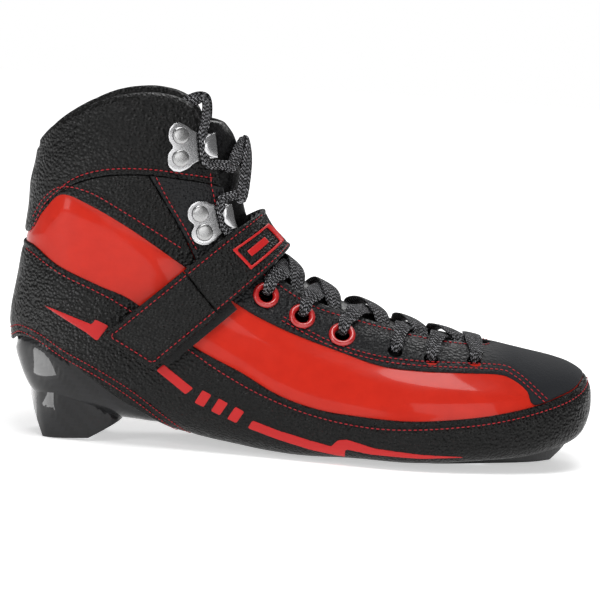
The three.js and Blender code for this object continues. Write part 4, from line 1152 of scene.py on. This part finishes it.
def round_hook(stops, name, level, low, high):
    """Under a hook's tongue and back, from the height low to the height high."""
    f = hook_frames[(name, level)]
    turn_points = HOOK_TURN[:8] if level == "upper" else HOOK_TURN
    for k, (u, v, h) in enumerate(turn_points):
        height = {0: low, 12: high}.get(k, h)
        stops.append(stop(f.at(u, v, height), f.n, 6.5 if k in (0, 12) else 5))


def cross_over(stops, hand, s0, s1, heights, to_hook=False):
    """Across the tongue from one edge of the throat to the other."""
    def at(share, y_of, d, w=LACE_WIDTH):
        s = s0 + (s1 - s0) * share
        stops.append(crown_stop(s, section(s)[9] + y_of(throat_half(s)), d, w))
    if s0 < 8:
        at(0.12, lambda g: hand * (g + 4.5), -2.9, 7)
    at(0.2, lambda g: hand * (g - 1.2), -2.75, 7)
    at(0.34, lambda g: hand * 0.5 * g, heights[0])
    at(0.5, lambda g: 0, heights[1])
    if to_hook:
        return
    at(0.66, lambda g: -hand * 0.5 * g, heights[2])
    at(0.82, lambda g: -hand * (g - 1.2), 1.7)
    if s1 < 8:
        at(0.9, lambda g: -hand * (g + 4.5), 1.9, 7)


def strand(first, over):
    """Half the lace, from the middle at the toe to its tip inside the collar."""
    stops, hand, lift = [], -1 if first == "lateral" else 1, over
    name = lambda: "lateral" if hand < 0 else "medial"
    stops.append(crown_stop(eye_station[5], section(eye_station[5])[9] + hand * 9, 1.1))
    for i in range(5, -1, -1):
        through_hole(stops, name(), i)
        if i > 0:
            cross_over(stops, hand, eye_station[i], eye_station[i - 1],
                       (0.1, 0.5, 1.2) if lift else (-2.2, -1.7, -1.5))
            lift = not lift
        else:
            cross_over(stops, hand, eye_station[0], 11.3, (0.7, 1.2) if lift else (-1.7, -1.2), True)
        hand = -hand
    round_hook(stops, name(), "lower", 1.6 if lift else -0.6, 0.2 if lift else 2)
    lift = not lift
    stops.append(crown_stop(13.35, 0, 2 if lift else 0, 7.6))
    hand = -hand
    round_hook(stops, name(), "upper", 2 if lift else 0.2, 0)
    f, side = hook_frames[(name(), "upper")], 1 if hand < 0 else -1

    def inside(s, a, d, w):
        return stop(skin(s, side * a, np.array(float(d))), skin_normal(s, side * a), w)
    stops += [stop(f.at(12.2, 8.5, 2), f.n, 5), stop(f.at(14.2, 12.3, 1.7), f.n, 5)]
    stops += [crown_stop(*c) for c in ((15.85, hand * 16.6, 0.6, 5), (16.1, hand * 15.6, -2.4, 5),
                                       (16.2, hand * 20.5, -5.4, 5),
                                       (16.15, hand * 27, -9.3, 5.5))]
    stops += [inside(*c) for c in ((16, 2.12, -9.9, 6), (15.6, 1.95, -10, 7), (14.8, 1.82, -10.2, 7),
                                   (13.8, 1.74, -10.6, 7),
                                   (12.9, 1.7, -11.1, 4))]
    end = inside(12.4, 1.69, -11.4, 2.4)
    run = unit(end["p"] - stops[-1]["p"])
    stops += [end, {**end, "p": end["p"] + run * 6}, {**end, "p": end["p"] + run * 13}]
    return stops, end["p"], run


strand_a, end_a, run_a = strand("lateral", True)
strand_b, end_b, run_b = strand("medial", False)
lace_stops = strand_a[::-1] + strand_b
print(len(lace_stops), "lace stops")

# %% From stops to a braided band
def smooth_path(values, n):
    """Spline through values, n steps between each pair."""
    before, after = 2 * values[0] - values[1], 2 * values[-1] - values[-2]
    return spline_through(np.vstack([before, values, after]), n)


def lace_band(stops, steps=5, round_=14):
    """Points, faces, braid coordinates and length of the flat band along the stops."""
    across, last = [], None
    points = np.array([q["p"] for q in stops])
    tangent = np.gradient(points, axis=0)
    for q, t in zip(stops, tangent):
        t = unit(t)
        d = q["across"] if q["across"] is not None else np.cross(q["n"], t)
        d = unit(d - t * (d @ t))
        if last is not None and d @ last < 0:
            d = -d
        last = d
        across.append(d)
    path = smooth_path(points, steps)
    wide = smooth_path(np.array([[q["w"]] for q in stops]), steps)[:, 0]
    across = smooth_path(np.array(across), steps)
    tangent = np.gradient(path, axis=0)
    length = np.concatenate([[0], np.cumsum(np.linalg.norm(np.diff(path, axis=0), axis=1))])
    angles = np.arange(round_) * 2 * math.pi / round_
    verts, uvs = [], []
    for p, w, d, t, l in zip(path, wide, across, tangent, length):
        t = unit(t)
        d = unit(d - t * (d @ t))
        up = np.cross(t, d)
        half_w, half_t = w / 2, LACE_THICK / 2 * (1 + 0.9 * max(0, (6 - w) / 6))
        for k in angles:
            c, e = math.cos(k), math.sin(k)
            x = half_w * np.sign(c) * abs(c) ** 0.75
            y = half_t * np.sign(e) * abs(e) ** 0.6 * (1 - 0.12 * math.cos(2 * k))
            verts.append(p + d * x + up * y)
            uvs.append((x + 20, l))
    rings = len(path)
    faces = tube_faces(rings, round_)
    faces += [tuple(range(round_))[::-1], tuple((rings - 1) * round_ + j for j in range(round_))]
    return np.array(verts), faces, uvs, length[-1]


lace_points, lace_faces, lace_uvs, lace_length = lace_band(lace_stops)
lace_mesh = bpy.data.meshes.new("braided_lace")
lace_mesh.from_pydata(place(lace_points).tolist(), [], lace_faces)
layer = lace_mesh.uv_layers.new(name="lace_uv")
for loop in lace_mesh.loops:
    layer.data[loop.index].uv = lace_uvs[loop.vertex_index]
lace_mesh.materials.append(lace_braid)
lace_mesh.shade_smooth()
lace = bpy.data.objects.new("braided_lace", lace_mesh)
bpy.context.collection.objects.link(lace)


def fix_normals(obj):
    """Turns all faces outwards."""
    bm = bmesh.new()
    bm.from_mesh(obj.data)
    bmesh.ops.recalc_face_normals(bm, faces=bm.faces)
    bm.to_mesh(obj.data)
    bm.free()
    return obj


fix_normals(lace)
print("lace length, mm", round(float(lace_length)))

# %% [markdown]
# ## Hooks, rivets and eyelets
# A speed hook is pressed from one sheet of steel: a heart-shaped foot with two rivets, and a
# tongue that rolls back over itself to hold the lace. The same rings of points as in the CAD
# part are used, with more of them, and a bevel softens the pressed edge. Rivets and eyelets
# repeat, so Geometry Nodes set one turned shape on each of their places.

# %% Hooks
METAL = 0.9


def hook_outline(level):
    rivet, h = HOOKS[level][2], 0.3 + METAL / 2
    rows = [(-6.2, h, rivet + 0.4), (-5.75, h, rivet + 2.6), (-5, h, rivet + 3.9), (-3, h, rivet + 5.6),
            (0, h, rivet + 6.3), (3, h, rivet + 5.4), (4.6, h, 10.1), (6, h, 8.8), (9, h, 7.4), (12, h, 6.8),
            (14.8, h, 6.7), (16.2, h + 0.2, 6.7), (17.3, h + 0.9, 6.7), (17.9, h + 1.8, 6.7),
            (17.6, h + 3.1, 6.6), (16.8, h + 3.7, 6.5), (15.6, h + 3.95, 6.2), (14.3, h + 4, 5.7),
            (13.1, h + 3.97, 5.0), (12.2, h + 3.9, 4.1), (11.5, h + 3.8, 2.9), (11.2, h + 3.7, 1.7)]
    return np.array(rows)


def hook_mesh(name, level):
    f, rows = hook_frames[(name, level)], hook_outline(level)
    shares = np.linspace(-1, 1, 15)
    verts = []
    for u, h, w in rows:
        for k in shares:
            v = k * w
            waist = 2.4 * math.exp(-(v / 2.2) ** 2) * min(max((-u - 1) / 4, 0), 1)
            crown = 0.5 * k * k * min(max((h - 3.5) / 1.0, 0), 1)
            verts.append(f.at(u + waist, v, h - crown))
    faces = grid_faces(len(rows), len(shares))
    obj = mesh_object(f"pressed_hook_{name}_{level}", place(np.array(verts)), faces, chrome, smooth_all=True)
    thicken(obj, METAL, 0)
    round_edges(obj, 0.28, 50)
    bake(obj)
    fix_normals(obj)
    obj.data.shade_smooth()
    return obj


hooks = {f"hook_{name}_{level}": hook_mesh(name, level) for name in SIDES for level in HOOKS}


# %% A Geometry Nodes tree that sets one shape on many places
def turned_shape(name, profile, material, round_=28):
    """A lathe body about Z; profile is a list of (radius, height) in millimetres."""
    verts = []
    for r, h in profile:
        for k in range(round_):
            angle = 2 * math.pi * k / round_
            verts.append((r * math.cos(angle) * MM, r * math.sin(angle) * MM, h * MM))
    obj = mesh_object(name, np.array(verts), tube_faces(len(profile), round_), material, smooth_below=50)
    fix_normals(obj)
    return obj


def new_tree(title, sockets):
    """An empty tree with a geometry input and output, and more inputs of the kinds given."""
    tree = bpy.data.node_groups.new(title, "GeometryNodeTree")
    tree.interface.new_socket("Geometry", in_out="INPUT", socket_type="NodeSocketGeometry")
    for name, kind in sockets:
        tree.interface.new_socket(name, in_out="INPUT", socket_type="NodeSocket" + kind)
    tree.interface.new_socket("Geometry", in_out="OUTPUT", socket_type="NodeSocketGeometry")
    return tree


def setting_tree():
    """Sets one shape on every point, turned outwards."""
    tree = new_tree("set_on_places", [("Shape", "Object"), ("Size", "Float"), ("Finish", "Material")])
    make = tree.nodes.new
    start, end = make("NodeGroupInput"), make("NodeGroupOutput")
    info, normal = make("GeometryNodeObjectInfo"), make("GeometryNodeInputNamedAttribute")
    normal.data_type = "FLOAT_VECTOR"
    normal.inputs["Name"].default_value = "outwards"
    aim = make("FunctionNodeAlignRotationToVector")
    aim.axis = "Z"
    to_points, on_points = make("GeometryNodeMeshToPoints"), make("GeometryNodeInstanceOnPoints")
    realize, finish = make("GeometryNodeRealizeInstances"), make("GeometryNodeSetMaterial")
    for a, b in ((start.outputs["Geometry"], to_points.inputs["Mesh"]),
                 (to_points.outputs["Points"], on_points.inputs["Points"]),
                 (start.outputs["Shape"], info.inputs["Object"]),
                 (info.outputs["Geometry"], on_points.inputs["Instance"]),
                 (normal.outputs["Attribute"], aim.inputs["Vector"]),
                 (aim.outputs["Rotation"], on_points.inputs["Rotation"]),
                 (start.outputs["Size"], on_points.inputs["Scale"]),
                 (on_points.outputs["Instances"], realize.inputs["Geometry"]),
                 (realize.outputs["Geometry"], finish.inputs["Geometry"]),
                 (start.outputs["Finish"], finish.inputs["Material"]),
                 (finish.outputs["Geometry"], end.inputs["Geometry"])):
        tree.links.new(a, b)
    return tree


def run_tree(obj, tree, **inputs):
    """Adds a tree, sets its inputs by identifier, and leaves a plain mesh."""
    modifier = obj.modifiers.new("nodes", "NODES")
    modifier.node_group = tree
    for item in tree.interface.items_tree:
        if item.item_type == "SOCKET" and item.in_out == "INPUT" and item.name in inputs:
            modifier[item.identifier] = inputs[item.name]
    return bake(obj)


def with_vectors(name, points, vectors, edges=()):
    """An object of loose points or lines that know which way is outwards."""
    mesh = bpy.data.meshes.new(name)
    mesh.from_pydata(np.asarray(points).tolist(), list(edges), [])
    data = mesh.attributes.new("outwards", "FLOAT_VECTOR", "POINT")
    data.data.foreach_set("vector", np.asarray(vectors, np.float32).ravel())
    obj = bpy.data.objects.new(name, mesh)
    bpy.context.collection.objects.link(obj)
    return obj


set_on_places = setting_tree()
rivet_shape = turned_shape("rivet_shape", [(0.01, -0.4), (3.4, -0.4), (3.4, 0.35), (4.0, 0.45), (4.15, 0.7),
                                           (4.05, 1.0), (3.7, 1.18), (2.6, 1.34), (1.3, 1.42), (0.01, 1.44)],
                                           rivet_chrome)
ring_shape = turned_shape("ring_shape", [(3.7, -1.2), (3.72, 0.6), (3.9, 1.1), (4.4, 1.6), (4.9, 1.8),
                                         (5.4, 1.78), (5.95, 1.5), (6.4, 1.05), (6.6, 0.55), (6.55, 0.3),
                                         (6.2, 0.25), (4.2, 0.25)], ring_lacquer, 36)
rivet_spots = [(hook_frames[k], v * HOOKS[k[1]][2]) for k in hook_frames for v in (1, -1)]
rivets = with_vectors("rivets", place(np.array([f.at(0, v, 1.45) for f, v in rivet_spots])),
                      turn(np.array([unit(f.at(0, v, 2.0) - f.at(0, v, 0.0)) for f, v in rivet_spots])))
run_tree(rivets, set_on_places, Shape=rivet_shape, Size=1.0, Finish=rivet_chrome)
ring_spots = [eyes[(name, i)] for name in SIDES for i in range(RINGS)]
rings = with_vectors("eyelet_rings", place(np.array([f.p for f in ring_spots])),
                     turn(np.array([f.n for f in ring_spots])))
run_tree(rings, set_on_places, Shape=ring_shape, Size=1.0, Finish=ring_lacquer)
for shape in (rivet_shape, ring_shape):
    bpy.data.objects.remove(shape)
for obj in (rivets, rings):
    obj.data.shade_smooth()
print("rivets", len(rivets.data.polygons), "rings", len(rings.data.polygons))


# %% [markdown]
# ## Stitching
# About a thousand red stitches hold the boot together. Each seam is a line laid on the skin,
# and a second tree walks along it and sets one short thread at every step, turned to the run of
# the seam and to the leather below it. Painting dashes on the leather would look the same from
# far away, but a thread has to catch the light.

# %% Seams laid on the skin
def laid(line, side, lift=0.12):
    """Points and normals of a side-view line on one side of the boot."""
    line = np.asarray(line, float)
    s, a = locate(line, side)
    return skin(s, a, np.full(len(s), lift)), skin_normal(s, a)


def throat_seam(side, extra, s_from, s_to, lift=0.12):
    s = np.linspace(s_from, s_to, 120)
    y = section(s)[:, 9] - side * (throat_half(s) + extra)
    a = crown_angle(s, y)
    return skin(s, a, np.full(len(s), lift)), skin_normal(s, a)


def belt_seam(places, side, lift):
    """A seam of the strap, given by runs and heights on the belt."""
    corners = np.array(belt_corners(places))
    steps = [np.linspace(p, q, 24, endpoint=False) for p, q in zip(corners, corners[1:])]
    return laid(np.vstack(steps + [corners[-1:]]), side, lift)


def seam_object(name, runs):
    points, normals, edges = [], [], []
    for p, n in runs:
        first = len(points)
        points += list(p)
        normals += list(n)
        edges += [(first + k, first + k + 1) for k in range(len(p) - 1)]
    return with_vectors(name, place(np.array(points)), turn(np.array(normals)), edges)


def stitching_tree():
    """Walks along every edge line and sets one thread at each step."""
    tree = new_tree("stitches", [("Pitch", "Float"), ("Length", "Float"), ("Thread", "Float"),
                                 ("Finish", "Material")])
    make = tree.nodes.new
    start, end = make("NodeGroupInput"), make("NodeGroupOutput")
    line, evenly = make("GeometryNodeMeshToCurve"), make("GeometryNodeResampleCurve")
    evenly.mode = "LENGTH"
    tangent, outwards = make("GeometryNodeInputTangent"), make("GeometryNodeInputNamedAttribute")
    outwards.data_type = "FLOAT_VECTOR"
    outwards.inputs["Name"].default_value = "outwards"
    aim, level = make("FunctionNodeAlignRotationToVector"), make("FunctionNodeAlignRotationToVector")
    aim.axis, level.axis, level.pivot_axis = "X", "Z", "X"
    thread_shape = make("GeometryNodeMeshUVSphere")
    thread_shape.inputs["Segments"].default_value = 8
    thread_shape.inputs["Rings"].default_value = 6
    thread_shape.inputs["Radius"].default_value = 0.5
    size, copies = make("ShaderNodeCombineXYZ"), make("GeometryNodeInstanceOnPoints")
    realize, finish = make("GeometryNodeRealizeInstances"), make("GeometryNodeSetMaterial")
    for a, b in ((start.outputs["Geometry"], line.inputs["Mesh"]),
                 (line.outputs["Curve"], evenly.inputs["Curve"]),
                 (start.outputs["Pitch"], evenly.inputs["Length"]),
                 (evenly.outputs["Curve"], copies.inputs["Points"]),
                 (thread_shape.outputs["Mesh"], copies.inputs["Instance"]),
                 (tangent.outputs["Tangent"], aim.inputs["Vector"]),
                 (aim.outputs["Rotation"], level.inputs["Rotation"]),
                 (outwards.outputs["Attribute"], level.inputs["Vector"]),
                 (level.outputs["Rotation"], copies.inputs["Rotation"]),
                 (start.outputs["Length"], size.inputs["X"]),
                 (start.outputs["Thread"], size.inputs["Y"]), (start.outputs["Thread"], size.inputs["Z"]),
                 (size.outputs["Vector"], copies.inputs["Scale"]),
                 (copies.outputs["Instances"], realize.inputs["Geometry"]),
                 (realize.outputs["Geometry"], finish.inputs["Geometry"]),
                 (start.outputs["Finish"], finish.inputs["Material"]),
                 (finish.outputs["Geometry"], end.inputs["Geometry"])):
        tree.links.new(a, b)
    return tree


stitches = stitching_tree()


def stitch_up(name, runs, pitch=2.6, length=1.9, thickness=0.52):
    """Sews the runs with red thread; the three sizes are in millimetres."""
    obj = run_tree(seam_object(name, runs), stitches, Pitch=pitch * MM, Length=length * MM,
                   Thread=thickness * MM, Finish=thread)
    obj.data.shade_smooth()
    print(name, len(obj.data.polygons) // 48, "stitches")
    return obj


boot_runs = []
for side in SIDES.values():
    boot_runs += [laid(CUFF_SEAM[6:], side, -0.15), laid(ANKLE_STITCH, side), laid(REAR_STITCH, side),
                  laid(UPPER_STITCH, side), laid(UPPER_STITCH_2, side), laid(RAND_STITCH[8:-6], side),
                  throat_seam(side, THROAT_SEAM, 4.75, 13.4)]
heel_runs = [laid(line[8:], side, -0.05) for line in (HEEL_STITCH, HEEL_STITCH_2) for side in SIDES.values()]
boot_stitches = stitch_up("boot_stitches", boot_runs)
heel_stitches = stitch_up("heel_stitches", heel_runs, 2.0, 1.5, 0.48)

ON_STRAP = STRAP_LIFT + STRAP_THICK - 0.05
strap_runs = [belt_seam([(TAB + 2, h), (56, h)], 1, ON_STRAP) for h in (LOW + INSET, HIGH - INSET)]
strap_runs += [belt_seam([(HINGE + 2, h), (56, h)], -1, ON_STRAP) for h in (LOW + INSET, HIGH - INSET)]
tab_corners = [(TAB - 1, HIGH - INSET), (END + INSET * 1.2, HIGH - INSET),
               (END + 9 + INSET * 0.8, LOW + INSET), (TAB - 1, LOW + INSET)]
tab_runs = [belt_seam(tab_corners, 1, ON_STRAP)]
anchor_runs = [belt_seam([(HINGE - 2, h), (-4, h)], -1, ON_STRAP) for h in (LOW + INSET, HIGH - INSET)]
strap_stitches = stitch_up("strap_stitches", strap_runs)
tab_stitches = stitch_up("tab_stitches", tab_runs)
anchor_stitches = stitch_up("anchor_stitches", anchor_runs)

# %% [markdown]
# ## Blocks and lace tips
# The two blocks under the boot are moulded with it, of the same carbon. Their CAD solids have
# the right form, so a copy of each gets the soft moulded edges that catch a line of light.

# %% Copies of CAD parts with softened edges
def softened(node_name, material, width, name):
    """A welded copy of a CAD part, with a bevel on its sharp edges."""
    obj = bpy.data.objects.new(name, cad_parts[node_name].data.copy())
    bpy.context.collection.objects.link(obj)
    obj.data.materials.clear()
    obj.data.materials.append(material)
    weld(obj, 0.00004)
    round_edges(obj, width, 32)
    bake(obj)
    obj.data.shade_smooth()
    obj.data.set_sharp_from_angle(angle=math.radians(50))
    return obj


heel_block = softened("heel_block", carbon, 1.0, "heel_block_moulded")
toe_block = softened("toe_block", carbon, 1.0, "toe_block_moulded")
heel_insert = softened("heel_insert", alloy, 0.3, "heel_insert_milled")
toe_insert = softened("toe_insert", alloy, 0.3, "toe_insert_milled")
tips = [softened("aglet_a", tip_plastic, 0.25, "lace_tip_a"),
        softened("aglet_b", tip_plastic, 0.25, "lace_tip_b")]

# %% [markdown]
# ## Joining the pieces to the CAD parts
# Each piece names the CAD parts it stands for and the body it moves with. The strap and its pull
# have bodies of their own.

# %% Bodies, replaced parts and material slots
def both(stem):
    return [f"{stem}_{side}" for side in SIDES]


STANDS_FOR = [
    (rand, both("quarter"), "boot", "pebbled_leather"),
    (patent_sheet, both("underlay"), "boot", "patent_leather"),
    (ankle_panels, both("ankle_panel"), "boot", "pebbled_leather"),
    (vamp, ["vamp"], "boot", "suede"),
    (cuff, ["cuff"], "boot", "pebbled_leather"),
    (lining, both("lining"), "boot", "lining"),
    (shell, ["carbon_shell"], "boot", "carbon"),
    (footbed, ["insole"], "boot", "lining"),
    (lace, ["lace"], "boot", "lace"),
    (strap_anchor, ["strap_anchor"], "boot", "strap_leather"),
    (loop_patch, ["loop_patch"], "boot", "hook_and_loop"),
    (heel_block, ["heel_block"], "boot", "block"),
    (toe_block, ["toe_block"], "boot", "block"),
    (heel_insert, ["heel_insert"], "boot", "insert"),
    (toe_insert, ["toe_insert"], "boot", "insert"),
    (tips[0], ["aglet_a"], "boot", "aglet"),
    (tips[1], ["aglet_b"], "boot", "aglet"),
    (strap, ["strap"], "strap", "strap_leather"),
    (badge_frame, ["strap_badge"], "strap", "badge"),
    (strap_tab, ["strap_tab"], "strap_tab", "strap_leather"),
    (hook_patch, ["hook_patch"], "strap_tab", "hook_and_loop"),
    (rivets, [f"rivet_{name}_{level}_{end}" for name in SIDES for level in HOOKS
              for end in ("top", "bottom")],
     "boot", "rivet_chrome"),
    (rings, [f"eyelet_{name}_{i}" for name in SIDES for i in (1, 2, 3)], "boot", "red_ring"),
]
STANDS_FOR += [(obj, [name], "boot", "hook_chrome") for name, obj in hooks.items()]
for obj, nodes, body, slot in STANDS_FOR:
    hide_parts(*nodes)
    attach(obj, body)
for obj in [boot_stitches, heel_stitches, anchor_stitches] + list(marks.values()):
    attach(obj, "boot")
for obj in [strap_stitches, badge_bar]:
    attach(obj, "strap")
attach(tab_stitches, "strap_tab")
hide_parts("tongue")
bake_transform(tongue)

# %% [markdown]
# ## Light and camera
# The boot stands on a white floor that glows a little more the further out it lies, so that it
# ends in the white of the room without a line. A large soft light above and in front lights the
# leather, a tall one at the left puts a bright window on the red patent, a fill from the front
# opens the shadows, and a rim light from behind separates the black cuff from the white. A weak
# strip beside the heel shows only as a reflection in the bare resin.

# %% Floor
def white_floor():
    """A disc that glows more towards its edge, so that it ends in the white of the room."""
    m = finish_of("white_floor", (0.9, 0.9, 0.9), 0.75, Emission_Color=(1, 1, 1, 1))
    far = node(m, "ShaderNodeVectorMath", operation="LENGTH")
    link(m, coordinates(m), far.inputs[0])
    glow = between(m, far.outputs["Value"], 0.35, 1.4, 0.5, 1.0)
    link(m, glow, m.node_tree.nodes["Principled BSDF"].inputs["Emission Strength"])
    count, radius = 96, 3.0
    angles = np.arange(count) * 2 * math.pi / count
    edge = np.stack([radius * np.cos(angles), radius * np.sin(angles), 0 * angles], -1)
    return mesh_object("floor", edge, [tuple(range(count))], m)


white_floor()


# %% Lights
def soft_light(name, at, target, width, height, power):
    """A white panel of light; sizes and places in metres."""
    data = bpy.data.lights.new(name, "AREA")
    data.shape, data.size, data.size_y, data.energy = "RECTANGLE", width, height, power
    obj = bpy.data.objects.new(name, data)
    obj.location = at
    obj.rotation_euler = (Vector(target) - Vector(at)).to_track_quat("-Z", "Y").to_euler()
    bpy.context.collection.objects.link(obj)
    return obj


soft_light("overhead", (0.1, -0.35, 1.25), (0, 0, 0.05), 0.8, 0.5, 10)
soft_light("left_window", (-0.95, -0.85, 0.55), (-0.05, 0, 0.08), 0.35, 0.9, 4.5)
soft_light("front_fill", (0.55, -1.35, 0.5), (0.02, 0, 0.07), 0.9, 0.6, 3.5)
soft_light("rim", (0.35, 1.0, 0.95), (0, 0, 0.1), 1.0, 0.4, 6)
strip = soft_light("heel_strip", (-0.235, -0.078, 0.004), (-0.235, -0.078, 1.0), 0.17, 0.05, 0.2)
strip.rotation_euler = (math.pi, 0, math.atan2(0.09, 0.135))
strip.visible_camera, strip.visible_diffuse, strip.visible_shadow = False, False, False
world = bpy.data.worlds.new("studio")
world.use_nodes = True
air = world.node_tree.nodes["Background"]
air.inputs["Color"].default_value = (1, 1, 1, 1)
ray, shown = (world.node_tree.nodes.new(kind) for kind in ("ShaderNodeLightPath", "ShaderNodeMapRange"))
shown.inputs["To Min"].default_value, shown.inputs["To Max"].default_value = 0.16, 1.0
world.node_tree.links.new(ray.outputs["Is Camera Ray"], shown.inputs["Value"])
world.node_tree.links.new(shown.outputs["Result"], air.inputs["Strength"])
bpy.context.scene.world = world
bpy.context.scene.view_settings.view_transform = "Standard"
bpy.context.scene.view_settings.look = "None"

# %% Camera, a little above the boot and upright on its own sole
EYE, TARGET, PICTURE_WIDTH = np.array([-0.5, -1500.0, 273.0]), np.array([-0.5, 0.0, 78.3]), 298.8
camera_data = bpy.data.cameras.new("camera")
camera_data.sensor_width, camera_data.clip_start = 36, 0.05
camera_data.lens = camera_data.sensor_width * np.linalg.norm(EYE - TARGET) / PICTURE_WIDTH
camera = bpy.data.objects.new("camera", camera_data)
bpy.context.collection.objects.link(camera)
back = unit(EYE - TARGET)
axes = turn([[1, 0, 0], np.cross(back, [1, 0, 0]), back])
camera.matrix_world = Matrix.Translation(place(EYE)) @ Matrix(axes.T.tolist()).to_4x4()
bpy.context.scene.camera = camera
